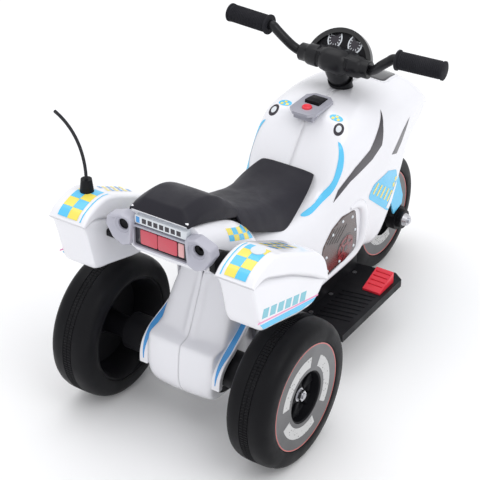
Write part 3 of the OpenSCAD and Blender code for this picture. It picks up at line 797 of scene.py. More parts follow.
@dataclass
class Sticker:
    """A thin printed film laid on a finished surface from one direction."""

    facing: Facing
    side: int
    grid: float = 4.0
    lift: float = 0.00025
    start: float = 400.0

    def film(self, tree: BVHTree, outline: Sequence[Pair]) -> Mesh:
        """Cuts one shape and lays it on the surface.

        Args:
            tree: The surface.
            outline: Corners in the plane, in millimetres.

        Returns:
            The film.
        """
        edge: list[Vector] = []
        n = len(outline)
        for i in range(n):
            a, b = Vector(outline[i]), Vector(outline[(i + 1) % n])
            parts = max(1, int((b - a).length / self.grid))
            edge += [a.lerp(b, k / parts) for k in range(parts)]
        low_x, high_x = min(p.x for p in edge), max(p.x for p in edge)
        low_y, high_y = min(p.y for p in edge), max(p.y for p in edge)
        inner = []
        for i in range(1, int((high_x - low_x) / self.grid)):
            for j in range(1, int((high_y - low_y) / self.grid)):
                q = Vector((low_x + i * self.grid, low_y + j * self.grid))
                if self.holds(edge, q) and min((q - p).length for p in edge) > self.grid * 0.4:
                    inner.append(q)
        ring = len(edge)
        pts, _, faces, _, _, _ = delaunay_2d_cdt(
            edge + inner, [], [list(range(ring))], 1, 0.0001
        )
        direction = {
            Facing.SIDE: Vector((0, -self.side, 0)),
            Facing.TOP: Vector((0, 0, -self.side)),
            Facing.BACK: Vector((-self.side, 0, 0)),
        }[self.facing]
        points, good = [], []
        for p in pts:
            origin = on_plane(self.facing, p.x, p.y, self.side * self.start)
            spot, normal, _, _ = tree.ray_cast(origin, direction)
            good.append(spot is not None)
            if spot is None:
                points.append(origin)
                continue
            if normal.dot(direction) > 0:
                normal = -normal
            points.append(spot + normal * self.lift)
        kept = [f for f in faces if all(good[i] for i in f)]
        flip = []
        for f in kept:
            a, b, c = (points[i] for i in f[:3])
            wrong = (b - a).cross(c - a).dot(direction) > 0
            flip.append(tuple(reversed(f)) if wrong else tuple(f))
        used = sorted({i for f in flip for i in f})
        place = {i: k for k, i in enumerate(used)}
        return Mesh([points[i] for i in used], [tuple(place[i] for i in f) for f in flip])

    @staticmethod
    def holds(edge: Sequence[Vector], q: Vector) -> bool:
        """Says whether a point is inside an outline.

        Args:
            edge: The outline.
            q: The point.

        Returns:
            True inside.
        """
        inside = False
        n = len(edge)
        for i in range(n):
            a, b = edge[i], edge[(i + 1) % n]
            if (a.y > q.y) != (b.y > q.y) and q.x < (b.x - a.x) * (q.y - a.y) / (b.y - a.y) + a.x:
                inside = not inside
        return inside




def on_skin(tree: BVHTree, facing: Facing, side: int, a: float, b: float, start: float = 400.0) -> Vector:
    """Finds the finished surface from one direction.

    Args:
        tree: The surface.
        facing: The plane the point is given in.
        side: Which end of the direction to look from.
        a: First coordinate in the plane.
        b: Second coordinate in the plane.
        start: Distance to look from, in millimetres.

    Returns:
        The point on the surface.
    """
    direction = {
        Facing.SIDE: Vector((0, -side, 0)),
        Facing.TOP: Vector((0, 0, -side)),
        Facing.BACK: Vector((-side, 0, 0)),
    }[facing]
    origin = on_plane(facing, a, b, side * start)
    spot, _, _, _ = tree.ray_cast(origin, direction)
    return spot if spot is not None else origin


def circle(a: float, b: float, r: float, steps: int = 40, squash: float = 1.0) -> list[Pair]:
    """Draws a circle or an ellipse.

    Args:
        a: First coordinate of its centre.
        b: Second coordinate of its centre.
        r: Radius along the first axis.
        steps: Corners.
        squash: Second radius as a share of the first.

    Returns:
        Anticlockwise corners.
    """
    turns = [2 * math.pi * i / steps for i in range(steps)]
    return [(a + r * math.cos(w), b + r * squash * math.sin(w)) for w in turns]


def bar(start: Pair, end: Pair, width: float, lean: float = 0.0) -> list[Pair]:
    """Draws a straight bar, leaning if wanted.

    Args:
        start: Middle of one end.
        end: Middle of the other end.
        width: Its width.
        lean: How far the upper side is moved towards the end.

    Returns:
        Its four corners.
    """
    a, b = Vector(start), Vector(end)
    along = (b - a).normalized()
    up = Vector((-along.y, along.x)) * (width / 2)
    shift = along * lean
    return [tuple(a - up), tuple(b - up), tuple(b + up + shift), tuple(a + up + shift)]


# --------------------------------------------------------------------------- the shell


@dataclass
class Section:
    """One cross-section of a half shell, from the middle of the top down the flank."""

    x: float
    points: tuple[Pair, ...]

    def row(self) -> list[Vector]:
        """Places the section's points in the frame."""
        return [at(self.x, y, z) for y, z in self.points]


@dataclass
class MainShell:
    """Tank, fairing and flanks: two halves that meet along the middle."""

    wall: float = 2.6
    seam: float = 0.15
    first_nose: int = 13
    turn_in: tuple[Triple, ...] = ((0, 1, 0), (1, 0.9, 1.5), (2.5, 0.5, 3), (3, 0, 3))
    sections: tuple[Section, ...] = (
        Section(60, (
            (0, 326), (30, 326), (46, 322), (58, 314), (67, 302), (74, 286),
            (77, 262), (77, 225), (76, 185), (75, 150), (66, 133),
        )),
        Section(120, (
            (0, 326), (30, 326), (46, 321), (58, 311), (68, 298), (75, 284),
            (78, 262), (78, 225), (77, 185), (76, 150), (67, 133),
        )),
        Section(170, (
            (0, 310), (30, 310), (46, 305), (60, 297), (70, 289), (76, 278),
            (79, 260), (79, 225), (78, 185), (77, 150), (68, 133),
        )),
        Section(225, (
            (0, 308), (30, 308), (46, 305), (60, 301), (70, 295), (77, 284),
            (80, 262), (80, 225), (79, 185), (78, 150), (69, 133),
        )),
        Section(256, (
            (0, 316), (32, 316), (48, 315), (62, 314), (73, 306), (80, 290),
            (81, 264), (80, 225), (79, 185), (79, 150), (70, 133),
        )),
        Section(268, (
            (0, 337), (34, 338), (50, 339), (64, 338), (76, 329), (82, 308),
            (83, 272), (81, 228), (79, 185), (79, 150), (70, 133),
        )),
        Section(292, (
            (0, 368), (36, 369), (54, 371), (69, 370), (80, 358), (86, 332),
            (86, 285), (82, 232), (80, 188), (79, 150), (70, 133),
        )),
        Section(312, (
            (0, 392), (38, 393), (56, 394), (71, 391), (83, 376), (90, 346),
            (88, 292), (83, 236), (81, 190), (79, 150), (70, 133),
        )),
        Section(326, (
            (0, 406), (40, 406), (58, 405), (73, 399), (85, 381), (92, 350),
            (89, 298), (84, 240), (81, 192), (79, 150), (70, 133),
        )),
        Section(350, (
            (0, 411), (40, 411), (59, 408), (75, 400), (87, 383), (94, 353),
            (90, 300), (84, 242), (81, 194), (79, 150), (70, 133),
        )),
        Section(400, (
            (0, 411), (40, 411), (60, 408), (78, 399), (90, 382), (96, 355),
            (92, 306), (85, 248), (82, 198), (79, 152), (70, 133),
        )),
        Section(424, (
            (0, 408), (40, 407.5), (60, 405), (79, 397), (92, 381), (97, 355),
            (93, 308), (87, 252), (83, 202), (80, 160), (79, 136),
        )),
        Section(446, (
            (0, 405), (40, 405), (60, 403), (80, 394), (93, 379), (97, 355),
            (94, 312), (88, 260), (85, 215), (83, 180), (81, 156),
        )),
        Section(482, (
            (0, 402), (40, 401.5), (60, 398), (79, 388), (91, 373), (94, 352),
            (89, 318), (86, 280), (85, 250), (84, 225), (82, 206),
        )),
        Section(510, (
            (0, 399), (40, 398), (58, 393), (76, 383), (88, 368), (92, 349),
            (88, 324), (84, 300), (82, 282), (80, 264), (79, 250),
        )),
        Section(536, (
            (0, 394), (38, 393), (55, 388), (72, 377), (84, 363), (88, 347),
            (85, 330), (82, 316), (80, 306), (78, 298), (77, 292),
        )),
        Section(562, (
            (0, 384), (36, 383), (52, 379), (68, 370), (80, 358), (84, 346),
            (82, 334), (81, 326), (80, 319), (79, 313), (78, 308),
        )),
        Section(577, (
            (0, 371), (34, 370), (50, 367), (64, 361), (76, 352), (80, 344),
            (80, 338), (79.5, 333), (79, 329), (78.5, 325), (78, 322),
        )),
        Section(585, (
            (0, 356), (30, 356), (44, 354), (58, 351), (70, 347), (77, 342),
            (78, 338.5), (78, 336.5), (77.5, 335), (77, 334), (76, 333),
        )),
    )

    def half(self) -> Mesh:
        """Builds the left half's skin with its front face and its floor.

        Returns:
            The half skin.
        """
        rows = [s.row() for s in self.sections]
        skin = loft(rows)
        front = []
        for s in self.sections[self.first_nose :]:
            y, z = s.points[-1]
            front.append(
                [at(s.x + ahead, y * share, z - fall) for ahead, share, fall in self.turn_in]
            )
        skin.plus(loft(front))
        tip = [at(587.5, y * 0.98, 329.5) for y, z in self.sections[-1].points]
        skin.plus(loft([rows[-1], tip]))
        floor_rows = []
        for s in self.sections[:11]:
            y, z = s.points[-1]
            floor_rows.append([at(s.x, y, z), at(s.x, y * 0.55, z - 0.5), at(s.x, 0, z - 0.5)])
        skin.plus(loft(floor_rows))
        for p in skin.points:
            p.y = max(p.y, self.seam * MM)
        return skin

    def build(self) -> list[bpy.types.Object]:
        """Makes both halves.

        Returns:
            The left and the right half.
        """
        half = self.half()
        made = []
        wall = self.wall * MM
        for name, mesh in (("left", half), ("right", half.mirrored())):
            make = Make(WHITE, replaces=(f"body_{name}",), slot="white_shell", subdivide=2, solid=wall)
            made.append(make.piece(f"shell_{name}", mesh))
        return made


@dataclass
class ShellDress:
    """Prints on the tank and cowl, the engine panel in the flank and the moulded rib round it."""

    sweep: tuple[Pair, ...] = (
        (196, 296), (235, 301), (267, 321), (286, 349), (303, 380), (299, 357),
        (288, 331), (263, 305), (219, 291),
    )
    dark_sweep: tuple[Pair, ...] = (
        (268, 289), (311, 309), (374, 321), (402, 336), (406, 371), (414, 393),
        (390, 369), (365, 344), (322, 330), (280, 307),
    )
    nose_sweep: tuple[Pair, ...] = (
        (444, 298), (466, 289), (483, 303), (494, 321), (502, 343), (483, 329), (464, 313),
    )
    cowl: tuple[Pair, ...] = ((379, 243), (460, 176), (489, 216), (476, 252), (440, 268), (394, 262))
    cowl_white: tuple[Pair, ...] = ((449, 190), (463, 179), (487, 214), (480, 226))
    engine: tuple[Pair, ...] = (
        (248, 150), (275, 148), (356, 156), (350, 202), (338, 243), (297, 249),
        (270, 239), (244, 214), (240, 180),
    )
    rib: tuple[Pair, ...] = (
        (322, 252), (340, 251), (354, 245), (366, 230), (372, 205), (370, 172),
        (356, 151), (330, 143), (285, 140),
        (240, 139),
    )
    flywheel: Pair = (316.0, 178.0)
    rivets: tuple[Pair, ...] = (
        (262, 160), (256, 190), (272, 226), (300, 238), (330, 232), (344, 200), (344, 168), (300, 160),
    )
    rib_radii: tuple[float, ...] = (4.0, 7.0, 9.0, 10.5, 11.0, 9.5, 7.5, 6.0, 5.0, 4.5)

    @staticmethod
    def rings(dark: Mesh, light: Mesh) -> tuple[tuple[float, float, Mesh], ...]:
        """Lists the flywheel's rings, from the widest inwards.

        Args:
            dark: Mesh for the dark rings.
            light: Mesh for the red rings.

        Returns:
            Radius, lift and mesh of each ring.
        """
        return (
            (27, 0.0011, dark), (24, 0.0014, light), (17, 0.0017, dark),
            (12, 0.0020, light), (6, 0.0023, dark),
        )

    def stickers(self, side: int, tree: BVHTree) -> None:
        """Lays the prints on one flank.

        Args:
            side: 1 for the left, -1 for the right.
            tree: Surface of the shell halves.
        """
        word = "left" if side > 0 else "right"
        film = Sticker(Facing.SIDE, side, grid=3.0, lift=0.0005)
        sweep = smooth_outline(self.sweep, 4)
        printed(LIGHT_BLUE, f"tank_sweep_{word}", film.film(tree, sweep))
        dark = film.film(tree, self.dark_sweep).plus(film.film(tree, self.nose_sweep))
        printed(SWEEP_BLACK, f"tank_dark_sweep_{word}", dark)
        blue = film.film(tree, rounded(self.cowl, 10))
        printed(LIGHT_BLUE, f"cowl_blue_{word}", blue)
        over = Sticker(Facing.SIDE, side, grid=3.0, lift=0.0008)
        printed(WHITE, f"cowl_white_{word}", over.film(tree, self.cowl_white))
        bars = Mesh([], [])
        for k in range(5):
            x, z = 396 + 13.5 * k, 243 - 10.2 * k
            bars.plus(over.film(tree, bar((x, z), (x + 14, z + 15), 5.5)))
        printed(YELLOW, f"cowl_bars_{word}", bars)
        checks = Mesh([], [])
        fine = Sticker(Facing.SIDE, side, grid=2.5, lift=0.0007)
        for i, j in ((0, 0), (1, 1), (0, 2), (1, 3)):
            x, z = 466 + 7 * i, 206 + 8 * j
            checks.plus(fine.film(tree, [(x, z), (x + 7, z), (x + 7, z + 8), (x, z + 8)]))
        printed(YELLOW, f"cowl_checks_{word}", checks)

    def badges(self, tree: BVHTree) -> None:
        """Lays the oval and round prints on top of the tank.

        Args:
            tree: Surface of the shell halves.
        """
        blue, yellow, ring, disc = (Mesh([], []) for _ in range(4))
        for side in (1, -1):
            low = Sticker(Facing.TOP, 1, grid=2.5, start=700.0)
            high = Sticker(Facing.TOP, 1, grid=2.5, lift=0.0005, start=700.0)
            blue.plus(low.film(tree, circle(330, 48 * side, 6, 32, 2.0)))
            for i, j in ((-1, 0), (1, 1), (-1, 2)):
                a, b = 330 + 2.2 * i, (43 + 5 * j) * side
                square = [(a - 2, b - 2.4), (a + 2, b - 2.4), (a + 2, b + 2.4), (a - 2, b + 2.4)]
                yellow.plus(high.film(tree, square))
            ring.plus(low.film(tree, circle(316, 61 * side, 8.5, 36)))
            disc.plus(high.film(tree, circle(316, 61 * side, 4.5, 36)))
        printed(LIGHT_BLUE, "tank_ovals", blue)
        printed(YELLOW, "tank_oval_checks", yellow)
        printed(SWEEP_BLACK, "tank_rings", ring)
        printed(PALE, "tank_discs", disc)

    def engine_panel(self, side: int, tree: BVHTree) -> None:
        """Makes the smoked engine panel with its moulded flywheel and rivets.

        Args:
            side: 1 for the left, -1 for the right.
            tree: Surface of the shell halves.
        """
        word = "left" if side > 0 else "right"
        outline = rounded(self.engine, 14)
        panel = Sticker(Facing.SIDE, side, grid=5.0, lift=0.0009).film(tree, outline)
        make = Make(ENGINE_BROWN, slot="engine_print", flat=True, solid=0.7 * MM, even=False)
        make.piece(f"engine_panel_{word}", panel)
        ring, dark, rivets = Mesh([], []), Mesh([], []), Mesh([], [])
        for r, lift, mesh in self.rings(dark, ring):
            mesh.plus(Sticker(Facing.SIDE, side, grid=4.0, lift=lift).film(tree, circle(*self.flywheel, r)))
        for k in range(6):
            w = math.pi / 3 * k + 0.3
            x, z = self.flywheel
            start = (x + 7 * math.cos(w), z + 7 * math.sin(w))
            end = (x + 22 * math.cos(w), z + 22 * math.sin(w))
            ring.plus(Sticker(Facing.SIDE, side, grid=3.0, lift=0.0021).film(tree, bar(start, end, 4.0)))
        for k in range(5):
            dark.plus(Sticker(Facing.SIDE, side, grid=4.0, lift=0.0013).film(
                tree, bar((256 + 8 * k, 214 - 3 * k), (278 + 9 * k, 234 - 2 * k), 3.0)
            ))
        for x, z in self.rivets:
            spot = on_skin(tree, Facing.SIDE, side, x, z)
            spindle = Spindle(spot, Vector((0, side, 0)))
            dome = [(0.01, 2.9), (1.4, 2.7), (2.4, 2.0), (2.9, 0.9), (3.0, 0.0)]
            rivets.plus(spindle.turned(dome, 20, False))
        Make(ENGINE_DARK, slot="engine_print", flat=True).piece(f"engine_shadow_{word}", dark)
        Make(ENGINE_RED, slot="engine_print", flat=True).piece(f"engine_flywheel_{word}", ring)
        Make(PALE, slot="engine_print").piece(f"engine_rivets_{word}", rivets)
        path = [on_skin(tree, Facing.SIDE, side, x, z) for x, z in self.rib]
        radii = [Vector((r, 0, 0)) for r in self.rib_radii]
        smooth = [p.x for p in smooth_path(radii, 5)]
        tube = swept(smooth_path(path, 5), smooth, 20)
        for p in tube.points:
            middle = side * 79 * MM
            p.y = middle + (p.y - middle) * 0.8
        Make(WHITE, slot="white_shell").piece(f"engine_rib_{word}", tube)

    def screen(self, tree: BVHTree) -> None:
        """Makes the smoked screen on top of the nose and its pale rim.

        Args:
            tree: Surface of the shell halves.
        """
        outline = rounded([(492, -44), (552, -36), (552, 36), (492, 44)], 10)
        rim = rounded([(488, -49), (557, -40), (557, 40), (488, 49)], 12)
        lay = Sticker(Facing.TOP, 1, grid=6.0, lift=0.0004, start=700.0)
        make = Make(WHITE, slot="white_shell", flat=True, solid=1.2 * MM, even=False)
        make.piece("nose_screen_rim", lay.film(tree, rim))
        lay = Sticker(Facing.TOP, 1, grid=6.0, lift=0.0011, start=700.0)
        node = ("nose_screen",)
        screen = Make(SMOKED, replaces=node, slot="gloss_black", flat=True, solid=1.2 * MM, even=False)
        screen.piece("nose_glass", lay.film(tree, outline))

    def build(self, tree: BVHTree) -> None:
        """Dresses both flanks, the top and the nose.

        Args:
            tree: Surface of the shell halves.
        """
        for side in (1, -1):
            self.stickers(side, tree)
            self.engine_panel(side, tree)
        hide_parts("engine_panels")
        self.badges(tree)
        self.screen(tree)


@dataclass
class Saddle:
    """The seat with its side flaps, and the pillion pad behind it."""

    wall: float = 5.0
    sections: tuple[Section, ...] = (
        Section(40, ((0, 379), (24, 379), (42, 376), (52, 368), (57, 356), (59, 348))),
        Section(46, ((0, 376), (26, 376), (43, 373), (53, 364), (59, 352), (61, 343))),
        Section(66, ((0, 367), (28, 367), (45, 363), (55, 354), (61, 342), (64, 332))),
        Section(100, ((0, 353), (28, 353), (46, 349), (56, 340), (63, 327), (66, 315))),
        Section(132, ((0, 344), (30, 344), (47, 340), (57, 329), (64, 312), (67, 300))),
        Section(152, ((0, 337.5), (30, 337), (47, 333), (57, 322), (64, 304), (67, 291))),
        Section(185, ((0, 331), (30, 331), (47, 328), (56, 321), (62, 312), (65, 307))),
        Section(215, ((0, 329), (30, 329), (46, 327), (54, 323.5), (59, 321), (62, 319))),
        Section(243, ((0, 332), (30, 332), (43, 331), (50, 329.5), (54, 328.5), (56, 327.5))),
        Section(260, ((0, 337), (28, 337), (40, 336), (46, 335), (49, 334), (50, 333))),
        Section(263, ((0, 336), (27, 336), (39, 335), (45, 334), (48, 333), (49, 332))),
    )
    pad: tuple[Section, ...] = (
        Section(-91, ((0, 417), (30, 417), (36, 417), (49, 417), (51, 416), (51, 414))),
        Section(-90, ((0, 421), (30, 421), (36, 421), (50, 420), (52, 418), (52, 414))),
        Section(-80, ((0, 434), (31, 434), (34, 433.5), (50, 422), (52.5, 419), (52.5, 413))),
        Section(-76, ((0, 436), (32, 436), (35, 435.3), (50, 423.5), (53, 420), (53, 412))),
        Section(-50, ((0, 438), (34, 438), (37, 437.3), (52, 424), (54, 421), (54, 405))),
        Section(-18, ((0, 432), (35, 432), (38, 431.2), (53, 416), (55, 413), (55, 394))),
        Section(12, ((0, 414), (35, 413.6), (38, 412.8), (52, 401), (54, 398), (54, 381))),
        Section(38, ((0, 393), (31, 392.6), (34, 392), (48, 384), (50, 382), (51, 368))),
        Section(54, ((0, 376), (26, 375.7), (29, 375.4), (39, 371.5), (41, 370.5), (42, 366.5))),
        Section(57, ((0, 373), (25, 372.7), (28, 372.4), (36, 370), (38, 369), (38, 367))),
    )

    def build(self) -> list[bpy.types.Object]:
        """Makes the seat and the pad.

        Returns:
            Both pieces.
        """
        made = []
        for name, node, sections in (("saddle", "seat", self.sections), ("pillion", "pillion_pad", self.pad)):
            rows = []
            for s in sections:
                right = [at(s.x, -y, z) for y, z in reversed(s.points)]
                rows.append(right + s.row()[1:])
            make = Make(SEAT_BLACK, replaces=(node,), slot="black_seat", subdivide=2, solid=self.wall * MM)
            made.append(make.piece(name, loft(rows)))
        return made


@dataclass
class Tail:
    """The white tail cover, and the two halves of the drive housing below it."""

    wall: float = 2.6
    seam: float = 0.2
    cover: tuple[Section, ...] = (
        Section(-74, (
            (44, 411), (53, 408), (63, 398), (70, 383), (72, 362), (68, 344),
            (52, 336), (0, 335),
        )),
        Section(-70, (
            (45, 410), (54, 407), (64, 397), (71, 382), (73, 361), (68, 342),
            (52, 333), (0, 332),
        )),
        Section(-50, (
            (47, 404), (56, 400), (66, 390), (72, 376), (74, 356), (69, 334),
            (50, 318), (0, 316),
        )),
        Section(-20, (
            (50, 393), (58, 390), (68, 382), (73, 368), (75, 348), (69, 318),
            (48, 298), (0, 294),
        )),
        Section(10, (
            (52, 381), (60, 378), (69, 370), (74, 356), (76, 334), (68, 298),
            (46, 274), (0, 270),
        )),
        Section(36, (
            (56, 362), (62, 358), (70, 350), (75, 338), (77, 318), (70, 288),
            (48, 270), (0, 268),
        )),
        Section(60, (
            (60, 336), (64, 332), (71, 326), (76, 316), (78, 300), (74, 284),
            (50, 270), (0, 268),
        )),
    )
    levels: tuple[tuple[float, tuple[Pair, ...]], ...] = (
        (268, ((22, 0), (22, 8), (25, 12), (27, 30), (32, 42), (38, 46), (62, 47))),
        (240, ((11, 0), (11, 9), (15, 13), (17, 36), (22, 49), (28, 53), (62, 54))),
        (210, ((-3, 0), (-3, 10), (2, 14), (4, 42), (8, 55), (15, 59), (62, 60))),
        (185, ((-14, 0), (-14, 10), (-9, 14), (-7, 46), (-3, 58), (4, 62), (62, 63))),
        (169, ((-22, 0), (-22, 10), (-17, 14), (-15, 48), (-12, 59), (-4, 63), (62, 64))),
        (166.5, ((-28, 0), (-28, 10), (-26, 15), (-26, 48), (-24, 59), (-15, 63), (62, 64))),
        (165, ((-43, 0), (-43, 11), (-43, 16), (-43, 50), (-41, 60), (-33, 63), (62, 64))),
        (161, ((-47, 0), (-47, 11), (-47, 17), (-47, 50), (-45, 60), (-38, 63), (62, 64))),
        (140, ((-50, 0), (-50, 11), (-50, 18), (-50, 52), (-48, 61), (-41, 64), (62, 65))),
        (110, ((-52, 0), (-52, 11), (-52, 18), (-52, 51), (-50, 60), (-43, 63), (62, 64))),
        (90, ((-50, 0), (-50, 11), (-50, 18), (-49, 48), (-46, 56), (-38, 60), (60, 61))),
        (72, ((-38, 0), (-38, 11), (-38, 18), (-36, 44), (-33, 51), (-26, 54), (59, 56))),
        (63, ((-24, 0), (-24, 11), (-24, 18), (-22, 40), (-18, 46), (-12, 49), (59, 52))),
    )
    flange: tuple[Pair, ...] = (
        (50, 198), (34, 186), (14, 175), (-6, 166), (-26, 156), (-40, 144), (-48, 128), (-50, 108),
    )

    def build(self) -> list[bpy.types.Object]:
        """Makes the cover and the housing halves.

        Returns:
            The three pieces.
        """
        rows = []
        for s in self.cover:
            right = [at(s.x, -y, z) for y, z in s.points]
            rows.append(right[:-1] + [at(s.x, y, z) for y, z in reversed(s.points)])
        make = Make(WHITE, replaces=("tail_cover",), slot="white_shell", subdivide=2, solid=self.wall * MM)
        made = [make.piece("tail_shell", loft(rows))]
        rear = self.cover[0].points
        outline = [(-y, z) for y, z in rear] + [(y, z) for y, z in reversed(rear[:-1])]
        wall = slab(Facing.BACK, rounded(outline, 4), -75.2, -72.6, 0.6)
        lip = rounded([(-52, 413), (52, 413), (50, 421), (-50, 421)], 3)
        wall.plus(slab(Facing.BACK, lip, -89.0, -72.0, 1.6))
        Make(WHITE, slot="white_shell", angle=50).piece("tail_wall", wall)
        rows = [[at(x, max(y, self.seam), z) for x, y in points] for z, points in self.levels]
        half = loft(rows)
        thickness = self.wall * MM
        for name, mesh in (("left", half), ("right", half.mirrored())):
            make = Make(WHITE, replaces=(f"rear_{name}",), slot="white_shell", subdivide=2, solid=thickness)
            made.append(make.piece(f"drive_housing_{name}", mesh))
        return made

    def ribbon(self, first: int, last: int, ends: tuple[Pair, ...], low: float, high: float) -> Mesh:
        """Runs a flat band along the flange's line.

        Args:
            first: Station it starts at.
            last: Station it ends at.
            ends: Inner and outer y at the start, in the middle and at the end.
            low: Depth of its underside below the line.
            high: Height of its top above the line.

        Returns:
            The closed band, on the left side.
        """
        line = [Vector(p) for p in smooth_outline(self.flange, 6, False)][first:last]
        rows = []
        for i, p in enumerate(line):
            t = (line[min(i + 1, len(line) - 1)] - line[max(i - 1, 0)]).normalized()
            up = Vector((t.y, -t.x))
            f = 2 * i / (len(line) - 1)
            a, b = (ends[0], ends[1]) if f < 1 else (ends[1], ends[2])
            f = f if f < 1 else f - 1
            inner, outer = a[0] * (1 - f) + b[0] * f, a[1] * (1 - f) + b[1] * f
            corners = ((inner, low), (inner, high), (outer, high), (outer, low))
            rows.append([at(p.x + up.x * d, y, p.y + up.y * d) for y, d in corners])
        return capped(loft(rows, True), 4)

    def flanges(self) -> None:
        """Makes the side flanges of the drive housing and the blue stripes on them."""
        flange = self.ribbon(0, 43, ((58, 72), (62, 77), (60, 75)), -9.0, 0.0)
        flange.plus(flange.mirrored())
        Make(WHITE, slot="white_shell", bevel=1.4 * MM).piece("housing_flanges", flange)
        stripe = self.ribbon(4, 40, ((62, 70), (65, 75), (66.5, 68)), -0.4, 0.3)
        stripe.plus(stripe.mirrored())
        printed(FENDER_BLUE, "housing_stripes", stripe)

    def side_checks(self, tree: BVHTree) -> None:
        """Args:
            tree: Surface of the tail cover.
        """
        parts = {LIGHT_BLUE: Mesh([], []), YELLOW: Mesh([], [])}
        for side in (1, -1):
            film = Sticker(Facing.SIDE, side, grid=3.0)
            for i in range(5):
                for j in range(2):
                    x, z = -16 + 13 * i, 372 - 5.5 * i - 10 * j
                    mesh = film.film(tree, [(x, z), (x + 12.5, z - 5.3), (x + 12.5, z + 4.5), (x, z + 9.6)])
                    parts[LIGHT_BLUE if (i + j) % 2 else YELLOW].plus(mesh)
        for finish, mesh in parts.items():
            printed(finish, f"tail_{finish.name}", mesh)


@dataclass
class TailLamps:
    """Silver lamp surrounds, the smoked window between them and the plate above it."""

    shield: tuple[Pair, ...] = ((46, 398), (50, 354), (64, 348), (82, 356), (95, 378), (92, 392), (66, 402))
    hole: Pair = (67.0, 381.0)
    cup: tuple[Pair, ...] = (
        (0.01, 3.4), (6.5, 3.2), (8.4, 2.0), (8.7, 0.0), (8.75, 0.0), (8.75, 5.4), (0.01, 5.4),
    )
    steps: int = 72

    def ring(self, k: float, round_r: float, share: float, x: float) -> list[Vector]:
        """Gives one ring between the shield outline and a circle.

        Args:
            k: Scale of the shield outline about the hole.
            round_r: Radius of the circle.
            share: 0 for the outline, 1 for the circle.
            x: Place along the trike.

        Returns:
            The ring's points on the left side.
        """
        outline = [Vector(p) for p in rounded(self.shield, 6, 5)]
        centre = Vector(self.hole)
        row = []
        for i in range(self.steps):
            w = 2 * math.pi * i / self.steps
            ray = Vector((math.cos(w), math.sin(w)))
            far = round_r
            for a, b in zip(outline, outline[1:] + outline[:1]):
                side = b - a
                cross = ray.x * side.y - ray.y * side.x
                if abs(cross) > 1e-9:
                    t = ((a.x - centre.x) * side.y - (a.y - centre.y) * side.x) / cross
                    u = ((a.x - centre.x) * ray.y - (a.y - centre.y) * ray.x) / cross
                    if t > 0 and 0 <= u <= 1:
                        far = t
            r = far * k * (1 - share) + round_r * share
            row.append(at(x, centre.x + ray.x * r, centre.y + ray.y * r))
        return row

    def surround(self) -> Mesh:
        """Builds the left surround, from its rear rim down into its bowl.

        Returns:
            The closed ring.
        """
        stations = (
            (1.0, 16, 0.0, -74.5), (1.0, 16, 0.0, -90.0), (0.97, 16, 0.0, -92.8), (0.93, 16, 0.0, -94.0),
            (0.84, 16, 0.0, -94.0), (0.76, 16, 0.2, -93.0), (0.7, 15.4, 0.85, -90.2), (0.7, 14.6, 1.0, -89.6),
            (0.7, 13.2, 1.0, -89.6), (0.7, 12.6, 1.0, -88.8), (0.7, 10.6, 1.0, -86.6), (0.7, 9.8, 1.0, -86.4),
            (0.7, 9.2, 1.0, -86.8), (0.7, 8.8, 1.0, -86.0), (0.7, 8.8, 1.0, -74.5),
        )
        rows = [self.ring(*s) for s in stations]
        rows.append(rows[0])
        return loft(rows, True)

    def build(self) -> None:
        """Makes the lamps, the window and the plate."""
        mesh = self.surround()
        mesh.plus(mesh.mirrored())
        Make(SILVER, replaces=("lamp_bezels",), slot="silver_plastic", angle=42).piece("lamp_surrounds", mesh)
        # The black discs at the bottom of the lamp holes are painted shade, standing in for the shade inside
        # each recess.
        cups = Mesh([], [])
        for side in (1, -1):
            spindle = Spindle(at(-84, side * self.hole[0], self.hole[1]), Vector((1, 0, 0)))
            cups.plus(spindle.turned(self.cup, 48))
        Make(TRIM_BLACK, replaces=("lamp_bowls",), slot="silver_plastic").piece("lamp_painted_shade_cups", cups)
        outer = rounded([(-50, 351), (50, 351), (50, 388), (-50, 388)], 5)
        inner = rounded([(-47.4, 353.6), (47.4, 353.6), (47.4, 385.4), (-47.4, 385.4)], 3.5)
        steps = [(outer, -74.5), (outer, -88.0), (inset(outer, 1.0), -89.0)]
        steps += [(inset(inner, -1), -89.0), (inner, -88.2), (inner, -82.0)]
        rows = [[at(x, a, b) for a, b in shape] for shape, x in steps]
        rows.append(rows[0])
        frame_make = Make(SILVER, replaces=("tail_lens_frame",), slot="black_plastic")
        frame_make.piece("tail_window_frame", loft(rows, True))
        glass = slab(Facing.BACK, inset(inner, 0.1), -84.2, -80.5, 0.8)
        Make(SMOKED, slot="gloss_black").piece("tail_window", glass)
        glow = Mesh([], [])
        for low, high in ((-28, 6), (7, 37)):
            shape = rounded([(low, 357), (high, 357), (high, 382), (low, 382)], 3)
            glow.plus(slab(Facing.BACK, shape, -86.0, -83.5, 0.8))
        Make(RED_LENS, replaces=("tail_lens",), slot="red_lens").piece("tail_glow", glow)
        outline = rounded([(-40, 358), (-30, 358), (-30, 381), (-40, 381)], 2)
        patch = slab(Facing.BACK, outline, -85.4, -83.5, 0.4)
        Make(PALE_RED, slot="red_lens").piece("tail_reflector", patch)
        self.plate()

    def plate(self) -> None:
        """Makes the plate with its generic blocks."""
        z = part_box("plate")[1].z / MM
        outline = rounded([(-46, z - 8), (46, z - 8), (46, z + 6), (-46, z + 6)], 2.5)
        board = slab(Facing.BACK, outline, -86.6, -74.0, 0.8)
        Make(PALE, replaces=("plate",), slot="plate_print").piece("plate_board", board)
        blocks = Mesh([], [])
        for k in range(7):
            y = 29 - 10.2 * k
            shape = [(y - 3.6, z - 5), (y + 3.6, z - 5), (y + 3.6, z + 3), (y - 3.6, z + 3)]
            blocks.plus(slab(Facing.BACK, shape, -86.9, -86.4))
        Make(SWEEP_BLACK, slot="plate_print").piece("plate_blocks", blocks)
        mark = slab(Facing.BACK, [(37, z - 6), (43, z - 6), (43, z + 4), (37, z + 4)], -86.9, -86.4)
        Make(FENDER_BLUE, slot="plate_print").piece("plate_mark", mark)


